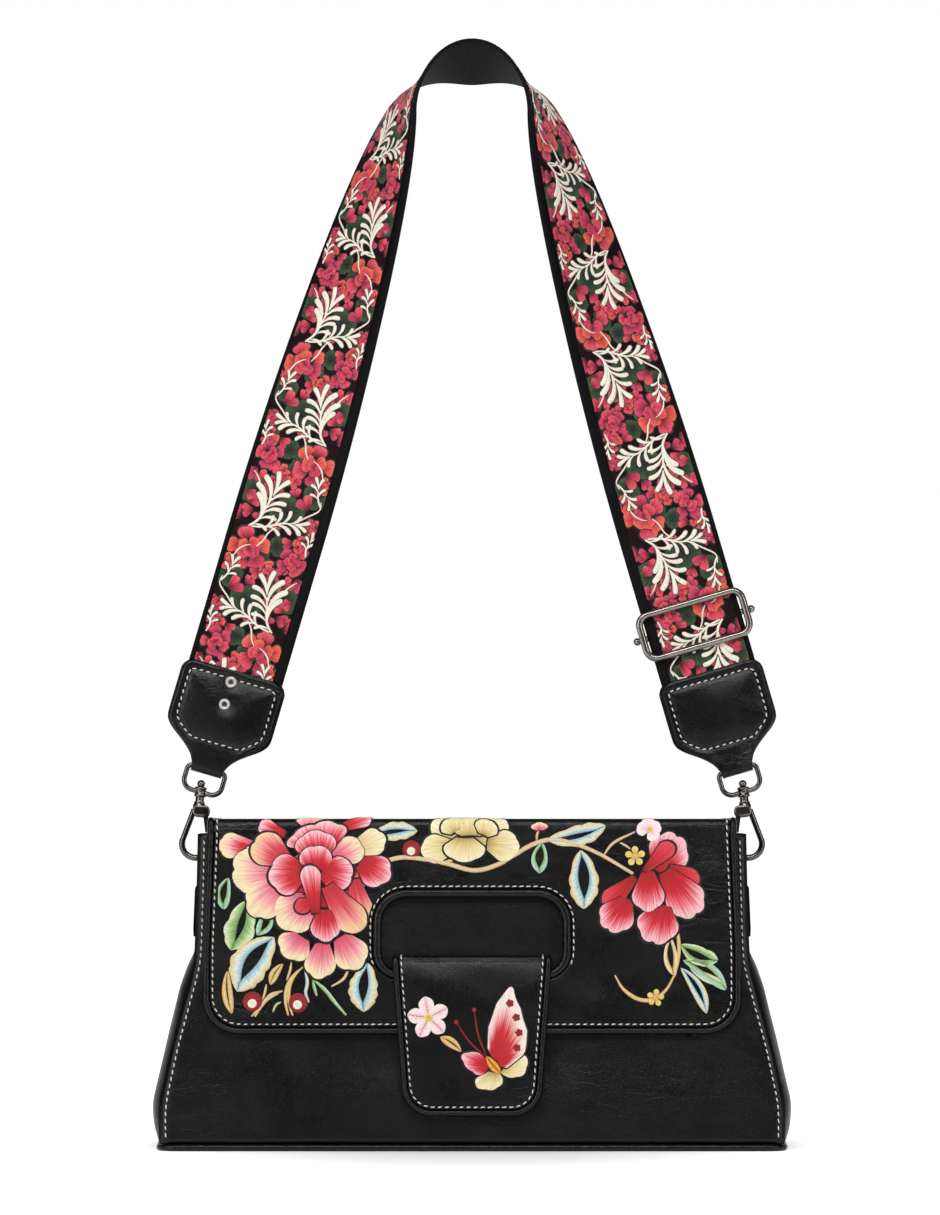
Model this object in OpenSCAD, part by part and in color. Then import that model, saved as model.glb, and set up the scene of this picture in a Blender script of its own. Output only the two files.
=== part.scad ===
// Shoulder bag: a flared leather body under a folding flap with a hand opening,
// closed by a snap tab, and carried on a wide patterned strap with two swivel hooks.
// The bag stands on z = 0 with its front towards -Y, and the origin is the middle of its base.
// All sizes are in millimetres and degrees.

/* [Body] */
// Width of the base
base_w = 295; // [275:1:330]
// Depth of the base
base_d = 80; // [70:1:100]
// Height of the two fold lines of the flap
body_h = 153.2; // [140:0.1:175]
// Depth of the body at its fold lines
top_d = 40.8; // [38:0.1:50]
// Width of the front panel at its top
top_w = 258.6; // [252:0.1:264]
// How far the back panel's dropped shoulders stand in from the front panel's top, on each side
shoulder_in = 8.3; // [7.8:0.1:11]
// How far the gussets swell past the panels' edges
gusset_bulge = 5; // [2:0.1:7]
// Thickness of the panel leather
panel_t = 2.2; // [1.6:0.1:2.8]
// Thickness of the gusset leather
gusset_t = 1.8; // [1.2:0.1:2.4]
// Thickness of the padded base
base_t = 3.4; // [3:0.1:4.5]
// Radius of the piping round the base
piping_r = 1.7; // [1.2:0.1:1.8]
// Thickness of the stiff board above the base
board_t = 2; // [1:0.1:3]
// Thickness of the fabric lining
lining_t = 0.8; // [0.5:0.1:1.2]

/* [Flap] */
// How far the flap's top stands in from the front panel's top, on each side
flap_in = 4.3; // [3.8:0.1:8]
// How far the flap widens towards its lower edge, on each side
flap_flare = 2; // [0:0.1:4]
// Length of the flap below its front fold, as a share of the panel's slanted height
flap_drop_share = 0.641; // [0.58:0.001:0.69]
// Radius of the flap's lower corners
flap_corner_r = 17; // [10:0.5:24]
// Thickness of the flap leather
flap_t = 2.4; // [1.8:0.1:3]
// Thickness of the flap's lining
flap_lining_t = 0.8; // [0.5:0.1:1.2]
// Space between the flap and the front panel
flap_gap = 0.6; // [0.5:0.1:1.2]
// Width of the rolled edge of the flap
flap_edge_w = 3.3; // [2.4:0.1:4.5]

/* [Hand opening] */
// Width of the opening in the flap
opening_w = 85.6; // [80:0.2:100]
// Distance from the front fold down to the opening, as a share of the panel's slanted height
opening_drop_share = 0.2234; // [0.18:0.0002:0.26]
// Radius of the opening's upper corners
opening_r = 11.8; // [8:0.2:14]
// Radius of the opening's lower corners, which end under the tab
opening_low_r = 9; // [4:0.5:11]
// Width of the rolled rim round the opening
rim_w = 4.4; // [3:0.1:6]

/* [Closure tab] */
// Width of the tab at its fold
tab_top_w = 74.6; // [66:0.2:78]
// Width of the tab near its end
tab_end_w = 64; // [56:0.5:70]
// Distance from the front fold down to the axis of the tab's fold, as a share of the slanted height
tab_drop_share = 0.4234; // [0.39:0.0002:0.45]
// Length of the tab below its fold axis, as a share of the slanted height
tab_len_share = 0.4694; // [0.43:0.0002:0.5]
// How far the snap lies below the centres of the tab's lower corners
snap_below = 2.6; // [0:0.1:5]
// Radius of the tab's lower corners
tab_corner_r = 14; // [8:0.5:20]
// Thickness of the tab leather
tab_t = 2.4; // [1.8:0.1:3]
// Thickness of the tab's lining
tab_lining_t = 0.7; // [0.5:0.1:1]
// Width of the tab's rolled edge
tab_edge_w = 2.8; // [2:0.1:4]
// Radius of the magnetic snap
snap_r = 7; // [5:0.1:8]
// Radius of the snap's nub
nub_r = 2.6; // [1.8:0.1:3.2]

/* [Ring tabs and D-rings] */
// Depth position of the D-rings behind the middle of the bag
ring_y = 18; // [17.5:0.1:19]
// Distance from the fold lines down to the D-ring's bar
ring_drop = 31.7; // [29:0.1:35]
// Wire radius of the D-rings
ring_wire_r = 1.25; // [1:0.05:1.3]
// Radius of the D-ring's bow, at the wire's middle
ring_bow_r = 8.6; // [7.5:0.1:9]
// Height of the D-ring from bar to bow, at the wire's middle
ring_h = 19.4; // [18.5:0.1:21]
// Width of the leather tab
ring_tab_w = 11.5; // [8:0.1:11.8]
// Length of the leather tab below the bar
ring_tab_len = 23; // [16:0.5:28]
// Leather thickness of the tab
ring_tab_t = 1.1; // [0.8:0.1:1.2]

/* [Swivel hooks] */
// Wire radius of the hook
hook_wire_r = 1.5; // [1.2:0.05:1.6]
// Radius of the hook's bow, at the wire's middle
hook_bow_r = 6.5; // [6.3:0.1:7.5]
// Length from the middle of the bow to the swivel head
hook_len = 24.5; // [23:0.1:27]
// How far the hook's bow lies outside its D-ring
hook_offset = 2.2; // [1.8:0.1:2.4]
// Radius of the swivel head
head_r = 2.5; // [2:0.1:2.8]
// Wire radius of the eye ring
eye_wire_r = 1.2; // [1:0.05:1.4]
// Width of the eye ring, at the wire's middle
eye_w = 18.6; // [17.6:0.1:20]
// Distance from the neck's fold to the bottom of the eye ring
eye_drop = 8.8; // [8:0.1:10]
// How far the necks of the strap lie inside the hooks' bows
neck_inset = 4.7; // [4:0.1:6]

/* [Strap] */
// Width of the webbing
strap_w = 46.4; // [42:0.1:47]
// Thickness of the webbing
webbing_t = 1.5; // [1:0.1:2]
// Thickness of the patterned ribbon
ribbon_t = 0.5; // [0.3:0.1:0.8]
// Plain margin of the webbing along its outer edge
outer_margin = 2.2; // [1:0.1:4]
// Plain margin of the webbing along its inner edge
inner_margin = 4.8; // [2:0.1:8]
// Height of the strap's crown above the D-rings' bows
crown_rise = 382; // [350:1:400]
// Radius of the strap's turn at the crown
crown_r = 36; // [30:1:44]
// How far the standing strap leans back
strap_lean = 6; // [5.5:0.1:8]
// The webbing lies flat as far as this above the neck's fold
flat_len = 122; // [115:1:150]
// The webbing starts this far above the neck's fold, inside the patch
strap_in = 22; // [18:0.5:30]
// Turn of the webbing about its own line at the crown
crown_turn = 110.4; // [90:0.2:120]

/* [Strap ends] */
// Width of the leather patch
patch_w = 51.4; // [48.6:0.2:54]
// Height of the leather patch with its neck
patch_h = 51.5; // [46:0.5:56]
// Radius of the patch's upper corners
patch_corner_r = 5; // [3:0.1:7]
// Width of the neck
neck_w = 15; // [11:0.2:15.2]
// Leather thickness of each layer
end_leather_t = 1.4; // [1:0.1:1.8]
// Radius of the rivet heads
rivet_r = 2.85; // [2:0.05:3.5]

/* [Slider] */
// Outer width of the slider
slider_w = 54.4; // [53.6:0.1:56]
// Outer height of the slider
slider_h = 24.7; // [20:0.1:28]
// Wire radius of the slider's frame
slider_wire_r = 1.7; // [1.3:0.05:1.75]
// Radius of the slider's bar
slider_bar_r = 1.5; // [1.1:0.05:1.8]
// Distance from the neck's fold to the middle of the slider
slider_at = 74.5; // [70:0.5:90]

/* [Hidden] */
$fn = 48;

// Colours
black_leather = "#1b1a1c";
black_lining = "#2b292d";
board_brown = "#6a5340";
gunmetal = "#5d5a58";
bright_metal = "#c9c8c4";
webbing_black = "#141315";
ribbon_red = "#b3303c";

// Fits
run = 0.3;       // free space between pieces that move
seam_gap = 0.05; // space between pieces that are sewn edge to edge
over = 1;        // how far a cut runs past what it cuts

// Places on the body
panel_tilt = atan((base_d - top_d) / 2 / body_h);
panel_z0 = max(2 * piping_r, base_t) + panel_t * sin(panel_tilt) + 0.5 * run;
fold_r = flap_lining_t + flap_t;
panel_top = body_h - fold_r - 1.5 * run;
rear_fold_y = top_d / 2 - fold_r;
shoulder_w = top_w - 2 * shoulder_in;
flap_top_w = top_w - 2 * flap_in;
flap_w = flap_top_w + 2 * flap_flare;
front_fold_y = -top_d / 2 - flap_gap * cos(panel_tilt);
front_fold_z = body_h + flap_gap * sin(panel_tilt);
fold_v = body_h / cos(panel_tilt);
base_corner_r = base_d / 10;
flap_drop = flap_drop_share * fold_v;
tab_drop = tab_drop_share * fold_v;
tab_len = tab_len_share * fold_v;
ring_z = body_h - ring_drop;

// Shares of the height and of the flare from top to base, up the panels' side edges
front_flare_shares = [
    [0, 0.97], [0.05, 1], [0.14, 1], [0.31, 0.7], [0.45, 0.38],
    [0.575, 0.1], [0.68, 0.06], [0.82, 0.03], [1, 0]
];
back_flare_shares = [
    [0, 0.97], [0.05, 1], [0.14, 1], [0.31, 0.8], [0.45, 0.55], [0.575, 0.34],
    [0.64, 0.23], [0.8, 0.19], [0.85, 0.02], [1, 0]
];
bulge_shares = [
    [0, 0.1], [0.07, 0.75], [0.14, 0.9], [0.31, 0.75], [0.5, 1], [0.57, 0.8],
    [0.63, 0.1], [0.8, 0], [0.85, -0.4], [1, -1]
];
gusset_row_shares = [0.03, 0.07, 0.14, 0.22, 0.31, 0.4, 0.5, 0.57, 0.63, 0.72, 0.8, 0.85, 0.92];
gusset_col_shares = [-1, -0.75, -0.5, -0.25, 0, 0.25, 0.5, 0.75, 1];
edge_inset = 0.4;

function mix(a, b, share) = a + (b - a) * share;
function edge_half(narrow_w, shares, z) = mix(narrow_w, base_w, lookup(z / body_h, shares)) / 2;
function front_half(z) = edge_half(top_w, front_flare_shares, z);
function back_half(z) = edge_half(shoulder_w, back_flare_shares, z);
function bulge(z) = gusset_bulge * lookup(z / body_h, bulge_shares);
function depth_half(z) = mix(base_d, top_d, z / body_h) / 2;
function inner_depth(z) = depth_half(z) - panel_t / cos(panel_tilt) - seam_gap;

// Outer face of a gusset at a share of the depth, -1 at the front and 1 at the back
function gusset_x(z, share) =
    mix(front_half(z), back_half(z), (share + 1) / 2) - edge_inset + bulge(z) * (1 - share * share);

// Places on the D-rings and hooks. The ring tabs follow the gussets' slope
ring_tab_front = ring_y - ring_tab_w / 2;
ring_tab_low = ring_z - ring_tab_len;
function seat_x(z) = gusset_x(z, ring_tab_front / depth_half(z));
ring_x = seat_x(ring_z) + run + ring_tab_t + run / 2 + ring_wire_r;
ring_tab_tilt = atan((seat_x(ring_tab_low) - seat_x(ring_z)) / ring_tab_len);
ring_fold_r = ring_wire_r + run / 2 + ring_tab_t;
bow_x = ring_x + hook_offset;
// The hook's bow hangs on the D-ring's bow with some play
bow_play = 0.6;
axis_z = ring_z + ring_h - ring_wire_r - hook_wire_r - 3 * bow_play;

// The strap's own frame starts on the swing axis and leans back
neck_v = hook_bow_r + hook_len + eye_drop;
neck_x = bow_x - neck_inset;
crown_c = crown_rise - crown_r;
leg_reach = norm([neck_x, crown_c - neck_v]);
leg_tilt = acos(crown_r / leg_reach) - atan((crown_c - neck_v) / neck_x);
leg_len = sqrt(leg_reach * leg_reach - crown_r * crown_r);
turn_len = crown_r * (90 - leg_tilt) * PI / 180;
half_len = leg_len + turn_len;
head_x = neck_x + eye_drop * sin(leg_tilt);
head_v = neck_v - eye_drop * cos(leg_tilt);
hook_tilt = atan((bow_x - head_x) / (head_v - hook_bow_r));
hook_reach = norm([bow_x - head_x, head_v - hook_bow_r]);
strap_t = webbing_t + ribbon_t;

module in_front() {
    translate([0, -base_d / 2, 0]) rotate([-panel_tilt, 0, 0]) children();
}

module at_back() {
    mirror([0, 1, 0]) in_front() children();
}

// A flat shape drawn as x and height up the front panel, from one depth in front of it to another
module plate(near, far) {
    in_front() translate([0, -near, 0]) rotate([90, 0, 0]) linear_extrude(far - near) children();
}

module strap_frame() {
    translate([0, ring_y, axis_z]) rotate([-strap_lean, 0, 0]) children();
}

// A leg's own frame: the origin on the neck's fold and +Z up the leg
module leg_frame(side) {
    strap_frame() translate([side * neck_x, 0, neck_v]) rotate([0, -side * leg_tilt, 0]) children();
}

// A hook's own frame: the origin at the swivel head, -Z towards the bow and +X outwards
module hook_frame(side) {
    strap_frame() translate([side * head_x, 0, head_v]) mirror_side(side)
        rotate([0, -hook_tilt, 0]) children();
}

module mirror_side(side) {
    mirror([side < 0 ? 1 : 0, 0, 0]) children();
}

// A skin through rings of points, with a flat cap at each end. The two halves of a ring are cut
// into triangles as mirror images, so that thin layers which lie on each other bend alike
module sweep(rings) {
    n = len(rings[0]);
    rows = len(rings);
    points = [for (r = rings) each r];
    sides = [for (i = [0 : rows - 2]) for (j = [0 : n - 1])
        let (a = i * n + j, b = i * n + (j + 1) % n, c = a + n, d = b + n)
            each j < n / 2 ? [[a, d, b], [a, c, d]] : [[a, c, b], [b, c, d]]];
    caps = [[for (j = [0 : n - 1]) j], [for (j = [n - 1 : -1 : 0]) (rows - 1) * n + j]];
    polyhedron(points, concat(sides, caps), convexity = 6);
}

module rounded_rect(w, d, r) {
    hull() for (x = [-1, 1]) for (y = [-1, 1])
        translate([x * (w / 2 - r), y * (d / 2 - r)]) circle(r);
}

// A closed bent wire: straight bars and quarter bends round a rounded rectangle
module wire_loop(w, h, r_low, r_high, wire_r) {
    for (x = [-1, 1]) {
        translate([x * w / 2, 0, r_low]) cylinder(h - r_low - r_high, r = wire_r);
        translate([x * (w / 2 - r_low), 0, r_low]) rotate([90, 0, 0])
            rotate([0, 0, x < 0 ? 180 : 270]) rotate_extrude(angle = 90) translate([r_low, 0]) circle(wire_r);
        translate([x * (w / 2 - r_high), 0, h - r_high]) rotate([90, 0, 0])
            rotate([0, 0, x < 0 ? 90 : 0]) rotate_extrude(angle = 90) translate([r_high, 0]) circle(wire_r);
    }
    for (end = [[0, r_low], [h, r_high]])
        translate([-w / 2 + end[1], 0, end[0]]) rotate([0, 90, 0]) cylinder(w - 2 * end[1], r = wire_r);
}

// Body

module base_panel() {
    color(black_leather) linear_extrude(base_t)
        rounded_rect(base_w - 2 * piping_r, base_d - 2 * piping_r, base_corner_r);
}

module base_board() {
    color(board_brown) translate([0, 0, panel_z0]) linear_extrude(board_t)
        rounded_rect(2 * lining_half(panel_z0), 2 * inner_depth(panel_z0 + board_t) - 2 * run,
            base_corner_r);
}

module base_piping() {
    w = base_w + 2 * seam_gap;
    d = base_d + 2 * seam_gap;
    color(black_leather) translate([0, 0, piping_r]) {
        for (x = [-1, 1]) for (y = [-1, 1])
            translate([x * (w / 2 - base_corner_r), y * (d / 2 - base_corner_r), 0])
                rotate([0, 0, x > 0 ? (y > 0 ? 0 : 270) : (y > 0 ? 90 : 180)])
                    rotate_extrude(angle = 90) translate([base_corner_r, 0]) circle(piping_r);
        for (y = [-1, 1]) translate([-w / 2 + base_corner_r, y * d / 2, 0])
            rotate([0, 90, 0]) cylinder(w - 2 * base_corner_r, r = piping_r);
        for (x = [-1, 1]) translate([x * w / 2, d / 2 - base_corner_r, 0])
            rotate([90, 0, 0]) cylinder(d - 2 * base_corner_r, r = piping_r);
    }
}

// The outline of a panel from its rows of shares, as x and height along the panel
function side_points(narrow_w, shares, side) = [
    for (row = shares) let (z = mix(panel_z0, panel_top, row[0]))
        [side * edge_half(narrow_w, shares, z), z / cos(panel_tilt)]
];
function reversed(list) = [for (i = [len(list) - 1 : -1 : 0]) list[i]];

module panel_outline(narrow_w, shares) {
    polygon(concat(side_points(narrow_w, shares, 1), reversed(side_points(narrow_w, shares, -1))));
}

module front_panel() {
    color(black_leather) difference() {
        plate(-panel_t, 0) panel_outline(top_w, front_flare_shares);
        snap_place() translate([0, -over, 0]) rotate([-90, 0, 0])
            cylinder(over + socket_sink, r = snap_r + seam_gap);
    }
}

module back_panel() {
    color(black_leather) {
        at_back() translate([0, panel_t, 0]) rotate([90, 0, 0]) linear_extrude(panel_t)
            panel_outline(shoulder_w, back_flare_shares);
        // The top is rolled over and carries the flap's rear fold
        translate([-shoulder_w / 2, rear_fold_y, body_h]) rotate([0, 90, 0])
            cylinder(shoulder_w, r = fold_r);
        at_back() translate([-shoulder_w / 2, 0, fold_v - 2 * fold_r])
            cube([shoulder_w, panel_t, 2 * fold_r]);
    }
}

function gusset_ring(z, side) = concat(
    [for (s = gusset_col_shares) [side * gusset_x(z, s), s * inner_depth(z), z]],
    [for (s = reversed(gusset_col_shares)) [side * (gusset_x(z, s) - gusset_t), s * inner_depth(z), z]]
);

module gusset(side) {
    rows = [for (s = gusset_row_shares) s * body_h];
    heights = concat([panel_z0], [for (z = rows) if (z > panel_z0 + over) z], [panel_top]);
    color(black_leather) mirror_side(side) sweep([for (z = heights) gusset_ring(z, 1)]);
}

function lining_half(z) = min([for (s = gusset_col_shares) gusset_x(z, s)]) - gusset_t - run;
function lining_ring(z, inset) = let (w = lining_half(z) - inset, d = inner_depth(z) - run - inset)
    [[-w, -d, z], [w, -d, z], [w, d, z], [-w, d, z]];

module lining() {
    floor_z = panel_z0 + board_t + run;
    rows = [for (s = gusset_row_shares) if (s * body_h > floor_z + 2 * over) s * body_h];
    outer = concat([floor_z], rows, [panel_top - over]);
    inner = concat([floor_z + lining_t], rows, [panel_top]);
    color(black_lining) difference() {
        sweep([for (z = outer) lining_ring(z, 0)]);
        sweep([for (z = inner) lining_ring(z, lining_t)]);
    }
}

// D-rings and their tabs

module d_ring(side) {
    color(gunmetal) translate([side * ring_x, ring_y, ring_z]) rotate([0, 0, 90])
        wire_loop(2 * ring_bow_r, ring_h, 2 * ring_wire_r, ring_bow_r, ring_wire_r);
}

module ring_tab(side) {
    color(black_leather) mirror_side(side) translate([ring_x, ring_y, ring_z])
        rotate([0, -ring_tab_tilt, 0]) difference() {
        union() {
            translate([0, ring_tab_w / 2, 0]) rotate([90, 0, 0]) cylinder(ring_tab_w, r = ring_fold_r);
            for (x = [-ring_fold_r, ring_fold_r - ring_tab_t])
                translate([x, -ring_tab_w / 2, -ring_tab_len]) cube([ring_tab_t, ring_tab_w, ring_tab_len]);
            // The two layers are sewn together below the ring
            translate([-ring_fold_r, -ring_tab_w / 2, -ring_tab_len])
                cube([2 * ring_fold_r, ring_tab_w, ring_tab_len - 2 * ring_fold_r]);
        }
        translate([0, ring_tab_w / 2 + over, 0]) rotate([90, 0, 0])
            cylinder(ring_tab_w + 2 * over, r = ring_wire_r + run / 2);
    }
}

// Snap

snap_v = fold_v - tab_drop - tab_len + tab_corner_r - snap_below;
socket_sink = 0.8;
socket_proud = 1.6;
tab_gap = 0.4; // space between the flap's face and the tab's inner face
tab_near = flap_gap + flap_lining_t + flap_t + tab_gap;
tab_face = tab_near + tab_lining_t + tab_t;

module snap_place() {
    in_front() translate([0, 0, snap_v]) children();
}

module snap_socket() {
    color(gunmetal) snap_place() difference() {
        translate([0, -socket_proud, 0]) rotate([-90, 0, 0])
            cylinder(socket_proud + socket_sink, r = snap_r);
        translate([0, -socket_proud - over, 0]) rotate([-90, 0, 0])
            cylinder(over + socket_proud + socket_sink / 2, r = nub_r + 3 * run);
    }
}

module snap_stud() {
    color(gunmetal) snap_place() {
        translate([0, -tab_near, 0]) rotate([-90, 0, 0])
            cylinder(tab_near - socket_proud - run, r = snap_r - run);
        translate([0, -socket_proud - run, 0]) rotate([-90, 0, 0]) cylinder(socket_proud, r = nub_r);
    }
}

// Flap

module fold_cut(y, z) {
    translate([-flap_w, y, z]) rotate([0, 90, 0]) cylinder(2 * flap_w, r = fold_r + run);
}

module flap_cover() {
    color(black_leather) difference() {
        translate([-flap_top_w / 2, front_fold_y, front_fold_z])
            cube([flap_top_w, rear_fold_y - front_fold_y, fold_r]);
        fold_cut(front_fold_y, front_fold_z);
        fold_cut(rear_fold_y, body_h);
    }
}

module cover_lining() {
    side_in = flap_edge_w;
    y0 = front_fold_y + fold_r + 2 * run;
    y1 = rear_fold_y - fold_r - 2 * run;
    color(black_lining) translate([-flap_top_w / 2 + side_in, y0, front_fold_z - flap_lining_t])
        cube([flap_top_w - 2 * side_in, y1 - y0, flap_lining_t]);
}

flap_low = fold_v - flap_drop;
opening_high = fold_v * (1 - opening_drop_share);
tab_v = fold_v - tab_drop;
tab_r = tab_face - tab_near + tab_gap;
opening_low = tab_v - tab_r - run;

module flap_outline(inset) {
    offset(delta = -inset) hull() {
        for (x = [-1, 1]) {
            translate([x * (flap_w / 2 - flap_corner_r), flap_low + flap_corner_r]) circle(flap_corner_r);
            translate([x * flap_top_w / 2 - (x > 0 ? over : 0), fold_v - over]) square(over);
        }
    }
}

module opening_outline(grow) {
    intersection() {
        hull() for (x = [-1, 1]) {
            translate([x * (opening_w / 2 - opening_r), opening_high - opening_r])
                circle(opening_r + grow);
            translate([x * (opening_w / 2 - opening_low_r), opening_low + opening_low_r])
                circle(opening_low_r + grow);
        }
        translate([-opening_w, opening_low]) square(2 * opening_w);
    }
}

module flap_front() {
    near = flap_gap + flap_lining_t;
    color(black_leather) {
        plate(near, near + flap_t) difference() {
            intersection() {
                flap_outline(flap_edge_w + seam_gap);
                translate([-flap_w, 0]) square([2 * flap_w, fold_v]);
            }
            opening_outline(rim_w + seam_gap);
        }
        in_front() translate([-flap_top_w / 2, -flap_gap, fold_v]) rotate([0, 90, 0])
            cylinder(flap_top_w, r = fold_r);
        plate(near, near + flap_t) translate([-flap_top_w / 2 + flap_edge_w, fold_v - 2 * flap_edge_w])
            square([flap_top_w - 2 * flap_edge_w, 2 * flap_edge_w]);
    }
}

module flap_lining() {
    color(black_lining) plate(flap_gap, flap_gap + flap_lining_t - seam_gap) difference() {
        intersection() {
            flap_outline(flap_edge_w + seam_gap);
            translate([-flap_w, 0]) square([2 * flap_w, fold_v - fold_r - run]);
        }
        opening_outline(rim_w + seam_gap);
    }
}

module flap_edge() {
    color(black_leather) plate(flap_gap - run / 2, tab_near - run) difference() {
        intersection() {
            flap_outline(0);
            translate([-flap_w, 0]) square([2 * flap_w, fold_v - fold_r - run]);
        }
        flap_outline(flap_edge_w);
    }
}

module handle_binding() {
    color(black_leather) plate(flap_gap - run / 2, tab_near) difference() {
        opening_outline(rim_w);
        opening_outline(0);
        // Below, the rim ends beside the tab's fold
        translate([-opening_w, opening_low - over]) square([2 * opening_w, 3 * over]);
    }
}

// Closure tab

module tab_outline(inset) {
    offset(delta = -inset) hull() for (x = [-1, 1]) {
        translate([x * (tab_end_w / 2 - tab_corner_r), tab_v - tab_len + tab_corner_r])
            circle(tab_corner_r);
        translate([x * tab_top_w / 2 - (x > 0 ? over : 0), tab_v]) square(over);
    }
}

module tab_part(inset) {
    intersection() {
        tab_outline(inset);
        translate([-tab_top_w, 0]) square([2 * tab_top_w, tab_v]);
    }
}

module closure_tab() {
    color(black_leather) {
        plate(tab_near + tab_lining_t, tab_face) tab_part(tab_edge_w + seam_gap);
        // The tab folds over the lower edge of the hand opening
        in_front() translate([-tab_top_w / 2, -(tab_face - tab_r), tab_v]) rotate([0, 90, 0])
            cylinder(tab_top_w, r = tab_r);
    }
}

module tab_lining() {
    color(black_lining) plate(tab_near, tab_near + tab_lining_t - seam_gap) intersection() {
        tab_part(tab_edge_w + seam_gap);
        translate([-tab_top_w, 0]) square([2 * tab_top_w, tab_v - tab_r - run]);
    }
}

module tab_edge() {
    color(black_leather) plate(tab_near, tab_face + run) difference() {
        intersection() {
            tab_outline(0);
            translate([-tab_top_w, 0]) square([2 * tab_top_w, tab_v - tab_r - run]);
        }
        tab_outline(tab_edge_w);
    }
}

// Strap: the webbing runs up a leg, over the crown and down the other leg

// Line of the strap at a length from the left neck's fold, as x and height in the strap's frame
function strap_line(s) = s <= leg_len
    ? [-neck_x + s * sin(leg_tilt), neck_v + s * cos(leg_tilt)]
    : let (a = 180 - leg_tilt - (s - leg_len) / crown_r * 180 / PI) [crown_r * cos(a), crown_c + crown_r * sin(a)];
function strap_dir(s) = s <= leg_len
    ? [sin(leg_tilt), cos(leg_tilt)]
    : let (a = 180 - leg_tilt - (s - leg_len) / crown_r * 180 / PI) [sin(a), -cos(a)];

// The webbing turns about its line, slowly up the leg and fast near the crown. The shares say
// how much of the turn is the fast part, over what length, and how softly the slow part ends.
fast_turn_share = 0.413;
fast_reach_share = 0.13;
crown_ease_share = 0.05;
function fast_turn(v) = v * v / (v * v + pow(fast_reach_share, 2)) * (1 + pow(fast_reach_share, 2));
function slow_turn(v) = (norm([v, crown_ease_share]) - crown_ease_share)
    / (norm([1, crown_ease_share]) - crown_ease_share);
function strap_turn(s) = let (v = min(1, (half_len - s) / (half_len - flat_len)))
    crown_turn * (1 - mix(slow_turn(v), fast_turn(v), fast_turn_share));

// Unit vector across the webbing, from its outer to its inner edge, and the one out of its face
function across(s) = let (d = strap_dir(s), a = strap_turn(s)) [cos(a) * d[1], -sin(a), -cos(a) * d[0]];
function strap_up(s) = let (d = strap_dir(s)) [d[0], 0, d[1]];

// A ring of points round the webbing or ribbon, between two levels of its thickness
function strap_ring(s, spots, low, high) = let (
    p = strap_line(s), w = across(s), n = cross(w, strap_up(s)), c = [p[0], 0, p[1]]
) concat([for (x = spots) c + w * x + n * low], [for (x = reversed(spots)) c + w * x + n * high]);

leg_rows = 18;
turn_rows = 12;
function strap_rings(start, spots, low, high) =
    let (
        leg = [for (i = [1 : leg_rows]) mix(flat_len, leg_len, i / leg_rows)],
        turn = [for (i = [1 : turn_rows]) mix(leg_len, half_len, i / turn_rows)],
        half = [for (s = concat([start, flat_len], leg, turn)) strap_ring(s, spots, low, high)],
        other = [for (i = [len(half) - 2 : -1 : 0]) [for (p = half[i]) [-p[0], p[1], p[2]]]]
    ) concat(half, other);

// Both layers have a line of points along each edge of the ribbon, so they bend alike
ribbon_from = -strap_w / 2 + outer_margin;
ribbon_to = strap_w / 2 - inner_margin;
ribbon_level = strap_t / 2 - ribbon_t;

module strap_webbing() {
    color(webbing_black) difference() {
        strap_frame() sweep(strap_rings(strap_in,
            [-strap_w / 2, ribbon_from, ribbon_to, strap_w / 2], -strap_t / 2, ribbon_level));
        leg_frame(-1) rivet_holes(end_t);
    }
}

module strap_ribbon() {
    color(ribbon_red) strap_frame() sweep(strap_rings(patch_h + run,
        [ribbon_from, ribbon_to], ribbon_level + seam_gap, strap_t / 2));
}

// Strap ends

bar_v = eye_wire_r + run / 2 + end_leather_t; // the eye ring's bar lies this far above the neck's end
// The patch widens from the neck to its full width: shares of that growth and of the patch's height
patch_shares = [
    [0, 0.02], [0, 0.05], [0.044, 0.09], [0.126, 0.145], [0.275, 0.2], [0.495, 0.262], [0.77, 0.33],
    [0.934, 0.388], [0.985, 0.43], [1, 0.48]
];

module patch_outline() {
    right = [for (p = patch_shares) [mix(neck_w, patch_w, p[0]) / 2, p[1] * patch_h]];
    low = right[len(right) - 1][1];
    polygon(concat(right, reversed([for (p = right) [-p[0], p[1]]])));
    hull() for (x = [-1, 1]) {
        translate([x * (patch_w / 2 - patch_corner_r), patch_h - patch_corner_r]) circle(patch_corner_r);
        translate([x * patch_w / 2 - (x > 0 ? over : 0), low - over / 4]) square(over);
    }
}

end_t = strap_t + 2 * end_leather_t + 2 * seam_gap;

module strap_end(side) {
    color(black_leather) leg_frame(side) difference() {
        union() {
            translate([0, end_t / 2, 0]) rotate([90, 0, 0]) linear_extrude(end_t) patch_outline();
            translate([-neck_w / 2, 0, bar_v]) rotate([0, 90, 0]) cylinder(neck_w, r = bar_v);
        }
        // The webbing is sewn in between the two layers
        translate([-strap_w / 2 - seam_gap, -strap_t / 2 - seam_gap, strap_in - seam_gap])
            cube([strap_w + 2 * seam_gap, strap_t + 2 * seam_gap, patch_h]);
        translate([-neck_w / 2 - over, 0, bar_v]) rotate([0, 90, 0])
            cylinder(neck_w + 2 * over, r = eye_wire_r + run / 2);
        if (side < 0) rivet_holes(end_t);
    }
}

rivet_high_share = 0.885;
rivet_low_share = 0.67;

module rivet_places() {
    for (share = [rivet_high_share, rivet_low_share])
        translate([-rivet_r / 4, 0, share * patch_h]) children();
}

module rivet_holes(depth) {
    rivet_places() rotate([90, 0, 0]) translate([0, 0, -depth])
        cylinder(2 * depth, r = rivet_r / 2 + seam_gap);
}

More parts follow.
